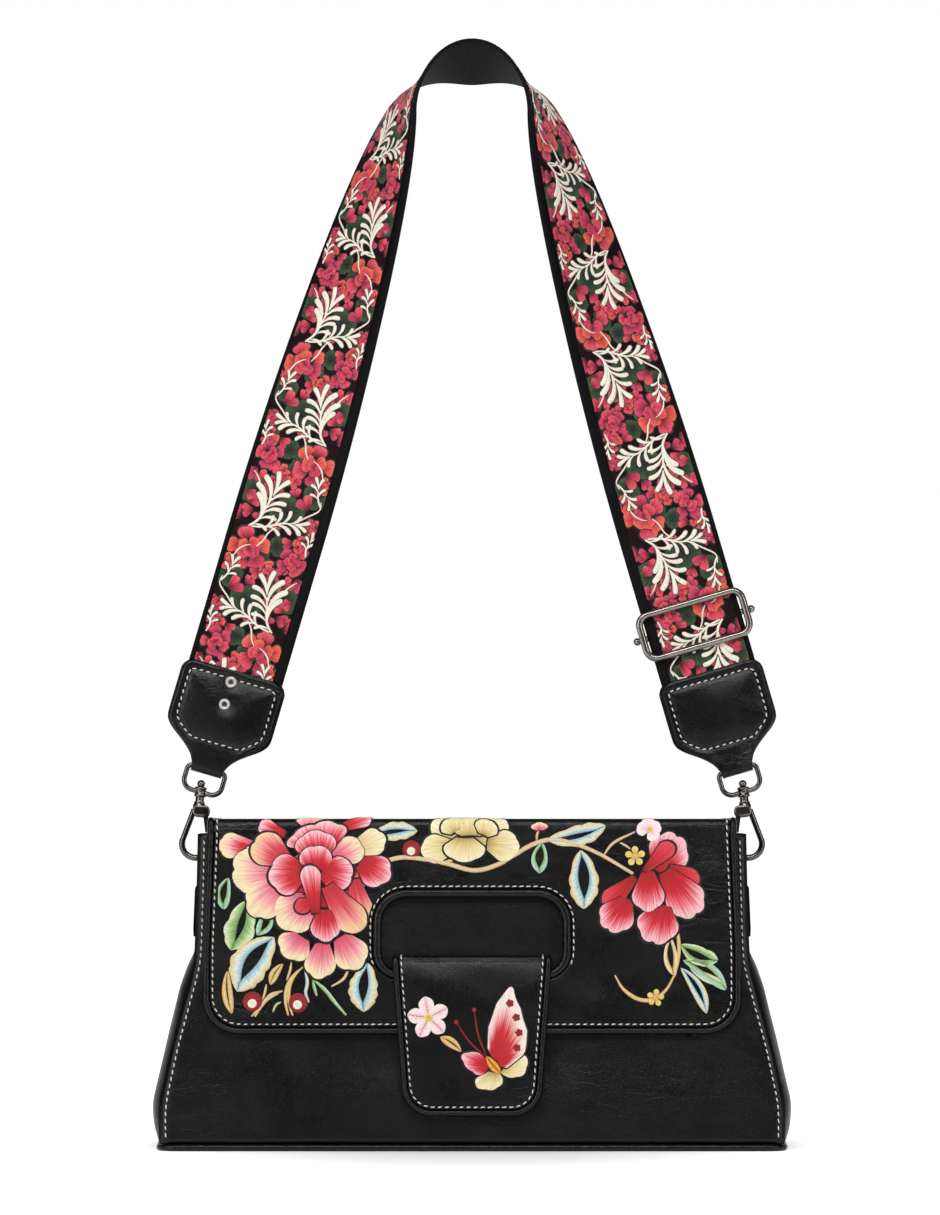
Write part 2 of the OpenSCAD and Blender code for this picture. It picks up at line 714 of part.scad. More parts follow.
module end_rivets() {
    head_t = rivet_r / 4;
    color(bright_metal) leg_frame(-1) rivet_places() rotate([90, 0, 0]) {
        translate([0, 0, -end_t / 2 - head_t]) cylinder(end_t + 2 * head_t, r = rivet_r / 2);
        for (z = [-end_t / 2 - head_t - seam_gap, end_t / 2 + seam_gap])
            translate([0, 0, z]) difference() {
                cylinder(head_t, r = rivet_r);
                if (z > 0) translate([0, 0, head_t / 2]) cylinder(head_t, r = rivet_r / 3);
            }
    }
}

// Eye rings and hooks

stem_r = 1.1;      // the hook's stem turns in the eye ring's boss
boss_r = 2.5;
boss_h = 4.8;
ball_r = 1.9;
ball_z = boss_h / 2 + sqrt(ball_r * ball_r - stem_r * stem_r); // the ball rests on the hole's rim

module eye_ring(side) {
    color(gunmetal) difference() {
        union() {
            leg_frame(side) translate([0, 0, -eye_drop])
                wire_loop(eye_w, eye_drop + bar_v, 4 * eye_wire_r, 2 * eye_wire_r, eye_wire_r);
            hook_frame(side) translate([0, 0, -boss_h / 2]) cylinder(boss_h, r = boss_r);
        }
        hook_frame(side) translate([0, 0, -boss_h]) cylinder(2 * boss_h, r = stem_r + seam_gap);
    }
}

collar_len = 7;
pin_drop = 9.6;    // from the head to the gate's pin
gate_from = 3.2;   // the gate's pin lies this far off the hook's axis
leg_from = 2.2;    // the outer leg starts this far off the hook's axis
gate_stop = 4.6;   // the bow's inner end reaches this far up to meet the gate's tip
pin_r = 0.6;
block_rise = 1.2;  // the block joins the collar this far above the pin
straight_r = hook_wire_r - 2 * seam_gap;

module swivel_hook(side) {
    color(gunmetal) hook_frame(side) {
        difference() {
            union() {
                // The stem and its ball turn in the eye ring's boss
                translate([0, 0, ball_z]) sphere(ball_r);
                translate([0, 0, -collar_len]) cylinder(collar_len + ball_z, r = stem_r);
                translate([0, 0, -collar_len])
                    cylinder(collar_len - boss_h / 2 - run / 2, r = mix(stem_r, head_r, 0.65));
                // The collar and the block that holds the gate's pin
                translate([0, 0, -collar_len - 0.4 * hook_wire_r]) cylinder(2 * hook_wire_r, r = head_r);
                translate([-gate_from - hook_wire_r, -head_r, -pin_drop - hook_wire_r])
                    cube([gate_from + hook_wire_r + leg_from, 2 * head_r, 2 * hook_wire_r + block_rise]);
            }
            // The slot that the gate turns in
            translate([-gate_from - 3 * hook_wire_r, -hook_wire_r - run / 2, -pin_drop - 2 * hook_wire_r])
                cube([3 * hook_wire_r + gate_from, 2 * hook_wire_r + run, 4 * hook_wire_r]);
            translate([-gate_from, -2 * head_r, -pin_drop]) rotate([-90, 0, 0])
                cylinder(4 * head_r, r = pin_r + seam_gap);
        }
        // The outer leg, the bow and the short end that meets the gate; the straight wires are a
        // little thinner than the bow and run into it
        translate([leg_from, 0, -collar_len - hook_wire_r]) rotate([0, 180 - leg_touch, 0])
            cylinder(touch_run(leg_top) + run, r = straight_r);
        translate([0, 0, -hook_reach]) rotate([90, 0, 0]) rotate([0, 0, 180 - gate_touch])
            rotate_extrude(angle = 180 + gate_touch + leg_touch)
                translate([hook_bow_r, 0]) circle(hook_wire_r);
        translate([-gate_from, 0, -pin_drop]) rotate([0, 180 + gate_touch, 0])
            translate([0, 0, touch_run(gate_top) - gate_stop]) cylinder(gate_stop + run, r = straight_r);
    }
}

// The leg and the gate run from points above the bow to where their lines touch it
leg_top = [leg_from, hook_reach - collar_len - hook_wire_r];
gate_top = [gate_from, hook_reach - pin_drop];
function touch_angle(p) = atan2(p[1], p[0]) - acos(hook_bow_r / norm(p));
function touch_run(p) = sqrt(p * p - hook_bow_r * hook_bow_r);
leg_touch = touch_angle(leg_top);
gate_touch = touch_angle(gate_top);

module hook_gate(side) {
    gate_w = 2 * hook_wire_r;
    gate_t = 1.6 * hook_wire_r;
    color(gunmetal) hook_frame(side) translate([-gate_from, 0, -pin_drop]) difference() {
        union() {
            rotate([90, 0, 0]) translate([0, 0, -gate_w / 2]) cylinder(gate_w, r = gate_t / 2);
            rotate([0, 180 + gate_touch, 0]) translate([-gate_t / 2, -gate_w / 2, 0])
                cube([gate_t, gate_w, touch_run(gate_top) - gate_stop - run]);
        }
        translate([0, gate_w, 0]) rotate([90, 0, 0]) cylinder(2 * gate_w, r = pin_r + seam_gap);
    }
}

module gate_pin(side) {
    color(bright_metal) hook_frame(side) translate([-gate_from, -head_r, -pin_drop])
        rotate([-90, 0, 0]) cylinder(2 * head_r, r = pin_r);
}

// Slider on the right leg: the frame lies in front of the webbing and its bar behind

slider_front = strap_t / 2 + run + slider_wire_r;
slider_back = strap_t / 2 + run + slider_bar_r;
lug_r = slider_bar_r + slider_wire_r / 2;

module slider_place() {
    leg_frame(1) translate([0, 0, slider_at]) children();
}

module slider_frame() {
    w = slider_w - 2 * slider_wire_r;
    color(gunmetal) slider_place() difference() {
        union() {
            translate([0, -slider_front, -slider_h / 2 + slider_wire_r])
                wire_loop(w, slider_h - 2 * slider_wire_r, 3 * slider_wire_r, 3 * slider_wire_r, slider_wire_r);
            // Lugs at the sides reach back past the webbing and hold the bar
            for (x = [-1, 1]) translate([x * w / 2 - slider_wire_r * 0.8, -slider_front, -lug_r])
                cube([slider_wire_r * 1.6, slider_front + slider_back, 2 * lug_r]);
            for (x = [-1, 1]) translate([x * w / 2 - slider_wire_r * 0.8, slider_back, 0])
                rotate([0, 90, 0]) cylinder(slider_wire_r * 1.6, r = lug_r);
        }
        translate([-slider_w, slider_back, 0]) rotate([0, 90, 0])
            cylinder(2 * slider_w, r = slider_bar_r + seam_gap);
    }
}

module slider_bar() {
    reach = slider_w / 2 + run;
    color(gunmetal) slider_place() translate([0, slider_back, 0]) {
        translate([-reach, 0, 0]) rotate([0, 90, 0]) cylinder(2 * reach, r = slider_bar_r);
        for (x = [-1, 1]) translate([x * (reach + slider_bar_r / 2), 0, 0]) sphere(slider_bar_r * 1.25);
    }
}

base_panel();
base_board();
base_piping();
front_panel();
back_panel();
gusset(-1);  // left_gusset
gusset(1);  // right_gusset
lining();
ring_tab(-1);  // left_ring_tab
ring_tab(1);  // right_ring_tab
d_ring(-1);  // left_d_ring
d_ring(1);  // right_d_ring
snap_socket();
flap_cover();
cover_lining();
flap_front();
flap_lining();
flap_edge();
handle_binding();
closure_tab();
tab_lining();
tab_edge();
snap_stud();
strap_webbing();
strap_ribbon();
strap_end(-1);  // left_strap_end
strap_end(1);  // right_strap_end
end_rivets();
eye_ring(-1);  // left_eye_ring
eye_ring(1);  // right_eye_ring
swivel_hook(-1);  // left_swivel_hook
swivel_hook(1);  // right_swivel_hook
hook_gate(-1);  // left_hook_gate
hook_gate(1);  // right_hook_gate
gate_pin(-1);  // left_gate_pin
gate_pin(1);  // right_gate_pin
slider_frame();
slider_bar();
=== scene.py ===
import math
import random

import bmesh
import bpy
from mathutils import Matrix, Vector, noise


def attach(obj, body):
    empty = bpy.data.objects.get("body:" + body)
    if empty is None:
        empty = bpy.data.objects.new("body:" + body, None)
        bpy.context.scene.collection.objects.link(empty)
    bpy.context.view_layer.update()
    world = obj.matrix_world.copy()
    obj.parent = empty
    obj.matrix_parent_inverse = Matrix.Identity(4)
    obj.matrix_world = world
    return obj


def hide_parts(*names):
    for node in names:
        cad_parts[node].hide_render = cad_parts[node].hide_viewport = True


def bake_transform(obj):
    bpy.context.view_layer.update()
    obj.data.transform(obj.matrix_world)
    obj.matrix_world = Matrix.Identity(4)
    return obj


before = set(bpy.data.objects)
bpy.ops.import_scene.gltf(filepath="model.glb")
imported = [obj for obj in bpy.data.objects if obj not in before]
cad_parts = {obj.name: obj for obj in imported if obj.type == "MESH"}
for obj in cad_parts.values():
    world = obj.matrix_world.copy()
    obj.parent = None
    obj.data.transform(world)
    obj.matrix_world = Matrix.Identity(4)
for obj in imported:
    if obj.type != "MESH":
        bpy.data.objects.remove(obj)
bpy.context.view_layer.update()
dice = random.Random(11)
mm = 0.001
sides = ((-1, "left"), (1, "right"))


# Small tools
def linked(name, data):
    thing = bpy.data.objects.new(name, data)
    bpy.context.collection.objects.link(thing)
    return thing


def pointAlong(thing, way):
    thing.rotation_mode = "QUATERNION"
    thing.rotation_quaternion = way.to_track_quat("-Z", "Y")


def linear(hexColour):
    channels = [int(hexColour[i:i + 2], 16) / 255 for i in (1, 3, 5)]
    return [c / 12.92 if c <= 0.04045 else ((c + 0.055) / 1.055) ** 2.4 for c in channels] + [1]


def plug(tree, node, inputs):
    # An input takes a value, a socket, or another node's first output
    for key, value in inputs.items():
        if isinstance(value, bpy.types.Node):
            value = value.outputs[0]
        if isinstance(value, bpy.types.NodeSocket):
            tree.links.new(value, node.inputs[key])
        else:
            node.inputs[key].default_value = value


def addNode(tree, kind, inputs={}, stops=(), **settings):
    # stops are the places on a colour ramp with their colours, each a hex value or a grey level.
    # Inputs 1 to 4 of a Map Range are its two from and two to values; 6 and 7 of a Mix are its two colours.
    node = tree.nodes.new("ShaderNode" + kind)
    for key, value in settings.items():
        setattr(node, key, value)
    plug(tree, node, inputs)
    while stops and len(node.color_ramp.elements) < len(stops):
        node.color_ramp.elements.new(0.5)
    for k, (at, colour) in enumerate(stops):
        node.color_ramp.elements[k].position = at
        node.color_ramp.elements[k].color = linear(colour) if isinstance(colour, str) else [colour] * 3 + [1]
    return node


def newMaterial(name, **shader):
    # Principled settings that are the same all over are set on its own sockets
    material = bpy.data.materials.new(name)
    material.use_nodes = True
    tree = material.node_tree
    surface = tree.nodes["Principled BSDF"]
    plug(tree, surface, {key.replace("_", " "): value for key, value in shader.items()})
    place = addNode(tree, "TexCoord")
    return material, tree, surface, place


def lookup(table, t):
    for (x0, y0), (x1, y1) in zip(table, table[1:]):
        if t <= x1:
            return y0 + (y1 - y0) * max(0.0, (t - x0) / (x1 - x0))
    return table[-1][1]


def softLookup(table, t, reach=0.03):
    return sum(lookup(table, min(1, max(0, t + reach * k / 3))) for k in range(-3, 4)) / 7


def smoothStep(a, b, t):
    t = min(1, max(0, (t - a) / (b - a)))
    return t * t * (3 - 2 * t)


def mix(a, b, t):
    return a + (b - a) * t


def spun(v, turn):
    return Vector((v.x * math.cos(turn) - v.y * math.sin(turn), v.x * math.sin(turn) + v.y * math.cos(turn)))


def coat(mesh, materials):
    for material in materials:
        mesh.materials.append(material)
    for polygon in mesh.polygons:
        polygon.use_smooth = True


def makePiece(name, points, faces, materials, uvs=None, slots=None, **more):
    mesh = bpy.data.meshes.new(name)
    mesh.from_pydata([Vector(p) * mm for p in points], [], faces)
    coat(mesh, materials)
    if uvs:
        layer = mesh.uv_layers.new(name="UVMap")
        for loop in mesh.loops:
            layer.data[loop.index].uv = uvs[loop.vertex_index]
    if slots:
        for polygon, index in zip(mesh.polygons, slots):
            polygon.material_index = index
    mesh.validate()
    finishPiece(name, mesh, **more)


def finishPiece(name, mesh, body, replaces=(), slot=None):
    # body is the one that the piece rides on; when it is instead the two that it would bend between and where the bend
    # lies, none of that is used and the piece is left unattached
    piece = linked(name, mesh)
    if replaces:
        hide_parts(*replaces)
    if isinstance(body, str):
        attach(piece, body)
    else:
        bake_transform(piece)


def gridFaces(rows, cols, closedRows=False, closedCols=False, offset=0):
    faces = []
    for i in range(rows if closedRows else rows - 1):
        for j in range(cols if closedCols else cols - 1):
            a, b = i * cols + j, i * cols + (j + 1) % cols
            c, d = ((i + 1) % rows) * cols + (j + 1) % cols, ((i + 1) % rows) * cols + j
            faces.append((a + offset, b + offset, c + offset, d + offset))
    return faces


def flipped(faces):
    return [tuple(reversed(f)) for f in faces]


def tubeFaces(rows, cols, start=0, ends=1):
    # Closed rings laid in a row, with a face over each end; ends is -1 where the faces are flipped later
    first = tuple(range(start, start + cols))
    last = tuple(range(start + (rows - 1) * cols, start + rows * cols))
    return gridFaces(rows, cols, False, True, start) + [first[::-ends], last[::ends]]


def filletPath(corners, radii, step=1.5, closed=False):
    # Points along straight runs and round corners, evenly spaced
    corners = [Vector(c) for c in corners]
    n = len(corners)
    rough = []
    for i, p in enumerate(corners):
        if not closed and i in (0, n - 1) or radii[i] == 0:
            rough.append(p)
            continue
        before, after = (corners[i - 1] - p).normalized(), (corners[(i + 1) % n] - p).normalized()
        half = before.angle(after) / 2
        if half > math.pi / 2 - 0.002:
            rough.append(p)
            continue
        cut = radii[i] / math.tan(half)
        centre = p + (before + after).normalized() * radii[i] / math.sin(half)
        a, b = p + before * cut - centre, p + after * cut - centre
        turn = a.angle(b)
        for k in range(13):
            t = k / 12
            rough.append(centre + (a * math.sin((1 - t) * turn) + b * math.sin(t * turn)) / math.sin(turn))
    if closed:
        rough.append(rough[0])
    return evenPath(rough, step, closed)


def evenPath(rough, step, closed=False):
    lengths = [0]
    for a, b in zip(rough, rough[1:]):
        lengths.append(lengths[-1] + (b - a).length)
    count = max(2, round(lengths[-1] / step))
    points, k = [], 0
    for i in range(count + (0 if closed else 1)):
        want = lengths[-1] * i / count
        while k < len(rough) - 2 and lengths[k + 1] < want:
            k += 1
        span = lengths[k + 1] - lengths[k]
        points.append(rough[k].lerp(rough[k + 1], (want - lengths[k]) / span if span else 0))
    return points


def nearest(path, p):
    best = (1e9, None)
    for a, b in zip(path, path[1:]):
        ab = b - a
        t = max(0, min(1, (p - a).dot(ab) / max(ab.length_squared, 1e-9)))
        spot = a + ab * t
        gap = (spot - p).length
        if gap < best[0]:
            best = (gap, spot)
    return best


def sideways(path, i, closed=False):
    # Unit vector to the right of a flat path's travel
    n = len(path)
    a = path[(i - 1) % n] if closed or i > 0 else path[i]
    b = path[(i + 1) % n] if closed or i < n - 1 else path[i]
    d = (b - a).normalized()
    return Vector((d.y, -d.x))


def sweptEdge(name, path, profile, place, body, replaces=()):
    # A closed profile of (side, lift) points swept along a flat path; place() lays it on the surface
    points, uvs, travel = [], [], 0
    for i, p in enumerate(path):
        side = sideways(path, i)
        if i:
            travel += (p - path[i - 1]).length
        for j, (a, b) in enumerate(profile):
            spot = p + side * a
            points.append(place(spot.x, spot.y, b))
            uvs.append((travel, j))
    makePiece(name, points, tubeFaces(len(path), len(profile)), [edgeLeather], uvs, body=body, replaces=replaces,
              slot="leather")


def roundProfile(width, low, high):
    # A soft half-round section: flat underneath, crowned on top
    steps = 9
    top = [(width * (0.5 - 0.5 * math.cos(math.pi * k / steps)), mix(low, high, math.sin(math.pi * k / steps) ** 0.6))
           for k in range(steps + 1)]
    return top + [(width * 0.8, low - 0.01), (width * 0.2, low - 0.01)]


thread = {"stitch": 2.35, "pitch": 3.35, "width": 0.6, "height": 0.52, "slant": 8, "uneven": 2.5}


def stitchRow(name, path, place, body, lift=0.0, closed=False):
    # Each stitch is a little twisted grain of thread that sinks at both ends
    path = evenPath([Vector(p) for p in path] + ([Vector(path[0])] if closed else []), thread["pitch"])
    points, faces, uvs = [], [], []
    rings, around = 6, 8
    half, fat, height = thread["stitch"] / 2, thread["width"], thread["height"]
    for a, b in zip(path, path[1:]):
        mid, run = (a + b) / 2, (b - a).normalized()
        run = spun(run, math.radians(thread["slant"] + dice.uniform(-thread["uneven"], thread["uneven"])))
        side = Vector((run.y, -run.x))
        faces += tubeFaces(rings + 1, around, len(points))
        for r in range(rings + 1):
            t = -1 + 2 * r / rings
            full = math.sqrt(max(0.0, 1 - abs(t) ** 3.2)) * 0.96 + 0.04
            for k in range(around):
                turn = 2 * math.pi * k / around
                spot = mid + run * half * t + side * fat / 2 * full * math.cos(turn)
                rise = lift + height * (0.28 - 0.5 * t * t) + height / 2 * full * math.sin(turn)
                points.append(place(spot.x, spot.y, rise))
                uvs.append((r / rings, k / around + r / rings))
    makePiece(name, points, faces, [creamThread], uvs, body=body, slot="leather")


sheet = {"reach": 3.2, "softShare": 0.34}             # how far the rim moves, and how much of the thickness is rounded


def thickSheet(name, place, xs, vs, keep, borders, thickness, material, body, relief=None, **more):
    # A leather sheet on a surface: the cells inside the outline are kept, their rim moves onto the
    # outline, and the sheet gets its thickness and soft edges
    cells, used = [], {}
    for i in range(len(xs) - 1):
        for j in range(len(vs) - 1):
            if keep((xs[i] + xs[i + 1]) / 2, (vs[j] + vs[j + 1]) / 2):
                cells.append((i, j))
                for q in ((i, j), (i + 1, j), (i + 1, j + 1), (i, j + 1)):
                    used[q] = used.get(q, 0) + 1
    spots, index = [], {}
    for q, count in used.items():
        p = Vector((xs[q[0]], vs[q[1]]))
        if count < 4:
            gap, spot = min((nearest(path, p) for path in borders), key=lambda n: n[0], default=(9, p))
            if gap < sheet["reach"]:
                p = spot
        index[q] = len(spots)
        spots.append(p)
    bm = bmesh.new()
    top = [bm.verts.new(Vector(place(p.x, p.y, relief(p.x, p.y) if relief else 0)) * mm) for p in spots]
    low = [bm.verts.new(Vector(place(p.x, p.y, -thickness)) * mm) for p in spots]
    edges = {}
    for i, j in cells:
        ring = [index[i, j], index[i + 1, j], index[i + 1, j + 1], index[i, j + 1]]
        bm.faces.new([top[k] for k in ring])
        bm.faces.new([low[k] for k in reversed(ring)])
        for a, b in zip(ring, ring[1:] + ring[:1]):
            edges[a, b] = True
    rim = [(a, b) for a, b in edges if (b, a) not in edges]
    for a, b in rim:
        bm.faces.new([top[b], top[a], low[a], low[b]])
    bm.normal_update()
    hard = [bm.edges.get((skin[a], skin[b])) for skin in (top, low) for a, b in rim]
    bmesh.ops.bevel(bm, geom=[e for e in hard if e], offset=thickness * sheet["softShare"] * mm, segments=3,
                    profile=0.6, affect="EDGES")
    bmesh.ops.recalc_face_normals(bm, faces=bm.faces)
    mesh = bpy.data.meshes.new(name)
    bm.to_mesh(mesh)
    bm.free()
    coat(mesh, [material])
    finishPiece(name, mesh, body, **more)


def ticks(low, high, step):
    count = max(1, round((high - low) / step))
    return [mix(low, high, i / count) for i in range(count + 1)]


def acrossLine(half, v):
    return [Vector((-half, v)), Vector((half, v))]


# Camera: a long lens straight in front, a little above the middle of the bag
view = {
    "pxPerMm": 2.12, "centrePx": 472, "basePy": 1152, "frameMidPx": 470, "frameMidPy": 607.5, "framePy": 1215,
    "aimY": -40, "distance": 6000, "elevation": 1.2, "sensor": 36, "clipEnd": 60,
}


def placeCamera():
    cam = linked("camera", bpy.data.cameras.new("camera"))
    aim = Vector(((view["frameMidPx"] - view["centrePx"]) / view["pxPerMm"], view["aimY"],
                  (view["basePy"] - view["frameMidPy"]) / view["pxPerMm"]))
    tilt = math.radians(view["elevation"])
    back = Vector((0, -math.cos(tilt), math.sin(tilt)))
    cam.location = (aim + back * view["distance"]) * mm
    pointAlong(cam, -back)
    cam.data.sensor_width = view["sensor"]
    cam.data.lens = view["sensor"] * view["distance"] * view["pxPerMm"] / view["framePy"]
    cam.data.clip_end = view["clipEnd"]
    bpy.context.scene.camera = cam


placeCamera()
print("camera placed")


# Materials
def scaleFor(wideMm):
    # The texture scale at which one cell of a pattern is this wide
    return 1 / (wideMm * mm)


hide = {"blotch": 26.3, "swell": 33.3, "crease": 18.2, "worn": 62.5, "poreDepth": 0.035}     # sizes of its marks


def creasedLeather(name, dark, light, roughness, grainMm, creaseMm, swellMm):
    # Finished cowhide, rolled smooth and waxed: nearly black, a soft sheen, fine pores and faint creases
    material, tree, surface, place = newMaterial(name, IOR=1.45, Specular_IOR_Level=0.42)
    at = place.outputs["Object"]
    tone = addNode(tree, "TexNoise", {"Vector": at, "Scale": scaleFor(hide["blotch"]), "Detail": 4.0, "Roughness": 0.6})
    colour = addNode(tree, "ValToRGB", {"Fac": tone}, [(0.3, dark), (0.72, light)])
    rough = addNode(tree, "MapRange", {"Value": tone, 1: 0.3, 2: 0.7, 3: roughness - 0.05, 4: roughness + 0.07})
    # Broad swells, then pores, then creases in the places where it was bent
    swell = addNode(tree, "TexNoise", {"Vector": at, "Scale": scaleFor(hide["swell"]), "Detail": 1.5, "Roughness": 0.4})
    pores = addNode(tree, "TexVoronoi", {"Vector": at, "Scale": scaleFor(grainMm)}, feature="DISTANCE_TO_EDGE")
    pits = addNode(tree, "ValToRGB", {"Fac": pores.outputs["Distance"]}, [(0.0, 0.0), (0.22, 1.0)])
    stretch = addNode(tree, "Mapping", {"Vector": at, "Scale": (1.0, 1.0, 2.2), "Rotation": (0.1, 0.5, 0.2)})
    bend = addNode(tree, "TexNoise", {"Vector": stretch, "Scale": scaleFor(hide["crease"]), "Detail": 5.0,
                                      "Distortion": 1.4})
    crease = addNode(tree, "ValToRGB", {"Fac": bend}, [(0.41, 1.0), (0.5, 0.0), (0.59, 1.0)])
    patch = addNode(tree, "TexNoise", {"Vector": at, "Scale": scaleFor(hide["worn"]), "Detail": 2.0})
    where = addNode(tree, "ValToRGB", {"Fac": patch}, [(0.45, 0.0), (0.62, 1.0)])
    worn = addNode(tree, "Mix", {0: where, 6: (1, 1, 1, 1), 7: crease}, data_type="RGBA").outputs[2]
    relief = addNode(tree, "Bump", {"Height": swell, "Distance": swellMm * mm, "Strength": 1.0})
    relief = addNode(tree, "Bump", {"Height": pits, "Distance": hide["poreDepth"] * mm, "Strength": 1.0,
                                    "Normal": relief})
    relief = addNode(tree, "Bump", {"Height": worn, "Distance": creaseMm * mm, "Strength": 1.0, "Normal": relief})
    plug(tree, surface, {"Base Color": colour, "Roughness": rough, "Normal": relief})
    return material


panelLeather = creasedLeather("black cowhide, smooth", "#050505", "#090808", 0.31, 0.9, 0.05, 1.2)
flapLeather = creasedLeather("black cowhide, softly creased", "#050505", "#090808", 0.28, 0.9, 0.08, 2.2)
endLeather = creasedLeather("black cowhide, much handled", "#050505", "#090808", 0.25, 1.0, 0.24, 2.6)
edgeLeather = creasedLeather("black cowhide, folded edge", "#050505", "#090808", 0.24, 0.8, 0.04, 0.6)


def wovenCloth(name, dark, light, pitchMm, roughness, depthMm):
    # Plain woven polyester: dull, with a fine over-and-under of threads, two to each band of the wave
    material, tree, surface, place = newMaterial(name, Roughness=roughness, Specular_IOR_Level=0.3, Sheen_Weight=0.15)
    wave = {"Vector": place.outputs["Object"], "Scale": 0.159 / (pitchMm * mm), "Distortion": 0.6}
    across = addNode(tree, "TexWave", wave, bands_direction="X").outputs["Fac"]
    along = addNode(tree, "TexWave", wave, bands_direction="Z").outputs["Fac"]
    weave = addNode(tree, "Math", {0: across, 1: along}, operation="MULTIPLY")
    colour = addNode(tree, "ValToRGB", {"Fac": weave}, [(0.0, dark), (0.8, light)])
    ridges = addNode(tree, "Bump", {"Height": weave, "Distance": depthMm * mm, "Strength": 1.0})
    plug(tree, surface, {"Base Color": colour, "Normal": ridges})
    return material


liningCloth = wovenCloth("black polyester lining", "#141416", "#26262a", 0.7, 0.75, 0.12)
boardFibre = wovenCloth("brown fibreboard", "#5a4632", "#745c43", 1.5, 0.85, 0.05)


def platedMetal(name, dark, light, roughness, wearMm):
    # Cast or drawn metal, polished and plated: a dark mirror, a little duller where it was handled
    material, tree, surface, place = newMaterial(name, Metallic=1.0)
    smear = addNode(tree, "TexNoise", {"Vector": place.outputs["Object"], "Scale": scaleFor(wearMm), "Detail": 3.0})
    colour = addNode(tree, "ValToRGB", {"Fac": smear}, [(0.3, dark), (0.7, light)])
    rough = addNode(tree, "MapRange", {"Value": smear, 1: 0.3, 2: 0.7, 3: roughness - 0.03, 4: roughness + 0.06})
    ripple = addNode(tree, "Bump", {"Height": smear, "Distance": 0.004 * mm, "Strength": 1.0})
    plug(tree, surface, {"Base Color": colour, "Roughness": rough, "Normal": ripple})
    return material


gunmetal = platedMetal("zinc, black nickel plated", "#66615d", "#7a746f", 0.2, 9)
sliderNickel = platedMetal("steel wire, dark nickel plated", "#8a857f", "#a29c95", 0.24, 9)
brightNickel = platedMetal("steel, bright nickel plated", "#cfccc6", "#dfdcd5", 0.36, 12)


def waxedThread(name, dark, light):
    # Waxed polyester thread, twisted from three strands: dull sheen, a spiral along each stitch
    material, tree, surface, place = newMaterial(name, Roughness=0.6, Specular_IOR_Level=0.35)
    twist = addNode(tree, "TexWave", {"Vector": place.outputs["UV"], "Scale": 1.1, "Distortion": 0.3},
                    bands_direction="DIAGONAL").outputs["Fac"]
    colour = addNode(tree, "ValToRGB", {"Fac": twist}, [(0.0, dark), (0.6, light)])
    spiral = addNode(tree, "Bump", {"Height": twist, "Distance": 0.08 * mm, "Strength": 1.0})
    plug(tree, surface, {"Base Color": colour, "Normal": spiral})
    return material


creamThread = waxedThread("cream waxed thread", "#b3aa98", "#f1ece0")
print("materials made")


# Floor and light
def setStage():
    floorMesh = bpy.data.meshes.new("floor")
    floorMesh.from_pydata([(-14, -12, 0), (14, -12, 0), (14, 24, 0), (-14, 24, 0)], [], [(0, 1, 2, 3)])
    floor = linked("floor", floorMesh)
    material, tree, surface, place = newMaterial("white studio floor", Roughness=0.7, Specular_IOR_Level=0.2)
    # The floor glows for the camera, so that it is white, and glows less within a wide ellipse round the bag: a painted
    # shadow, stretching much further in front of the bag than its own shadow would. Reflections see a little of the
    # glow.
    path = addNode(tree, "LightPath").outputs
    mirrored = addNode(tree, "Math", {0: path["Is Glossy Ray"], 1: 0.22}, operation="MULTIPLY")
    seen = addNode(tree, "Math", {0: path["Is Camera Ray"], 1: mirrored}, operation="MAXIMUM")
    seen = addNode(tree, "Math", {0: seen, 1: path["Is Transmission Ray"]}, operation="MAXIMUM")
    squeezed = addNode(tree, "Mapping", {"Vector": place.outputs["Object"], "Scale": (5.2, 3.4, 1.0)})
    away = addNode(tree, "VectorMath", {0: squeezed}, operation="LENGTH")
    # Less glow close to the bag: this is the painted shadow
    paintedShadowGlow = addNode(tree, "MapRange", {"Value": away.outputs["Value"], 1: 0.15, 2: 1.15, 3: 0.1, 4: 0.66},
                     interpolation_type="SMOOTHSTEP")
    glow = addNode(tree, "Math", {0: seen, 1: paintedShadowGlow}, operation="MULTIPLY")
    plug(tree, surface, {"Base Color": linear("#f4f4f4"), "Emission Color": (1, 1, 1, 1), "Emission Strength": glow})
    floorMesh.materials.append(material)

    world = bpy.data.worlds.new("studio")
    bpy.context.scene.world = world
    world.use_nodes = True
    tree = world.node_tree
    path = addNode(tree, "LightPath").outputs
    seen = addNode(tree, "Math", {0: path["Is Camera Ray"], 1: path["Is Glossy Ray"]}, operation="MAXIMUM")
    seen = addNode(tree, "Math", {0: seen, 1: path["Is Transmission Ray"]}, operation="MAXIMUM")
    # Reflections see the white backdrop behind the bag and a darker room in front of it
    way = addNode(tree, "SeparateXYZ", {"Vector": addNode(tree, "TexCoord").outputs["Generated"]})
    room = addNode(tree, "MapRange", {"Value": way.outputs["Y"], 1: 0.5, 2: 0.95, 3: 0.05, 4: 0.6},
                   interpolation_type="SMOOTHSTEP")
    mirrored = addNode(tree, "Mix", {0: path["Is Glossy Ray"], 2: 1.0, 3: room})
    level = addNode(tree, "MapRange", {"Value": seen, 3: 0.42, 4: mirrored})
    plug(tree, tree.nodes["Background"], {"Color": (1, 1, 1, 1), "Strength": level})

    lamps = {
        "overhead": {"at": (-0.15, -1.3, 1.4), "aim": (0, 0, 0.15), "size": (1.6, 0.35), "power": 16},
        "front left": {"at": (-1.35, -1.2, 0.75), "aim": (0, 0, 0.2), "size": (0.3, 1.2), "power": 9},
        "front right": {"at": (1.45, -1.05, 0.7), "aim": (0, 0, 0.2), "size": (0.25, 1.1), "power": 6.5},
    }
    for name, lamp in lamps.items():
        light = bpy.data.lights.new(name, "AREA")
        light.shape = "RECTANGLE"
        light.size, light.size_y = lamp["size"]
        light.energy = lamp["power"]
        holder = linked(name, light)
        holder.location = lamp["at"]
        pointAlong(holder, Vector(lamp["aim"]) - holder.location)
    bpy.context.scene.view_settings.view_transform = "Standard"


setStage()
print("stage set")


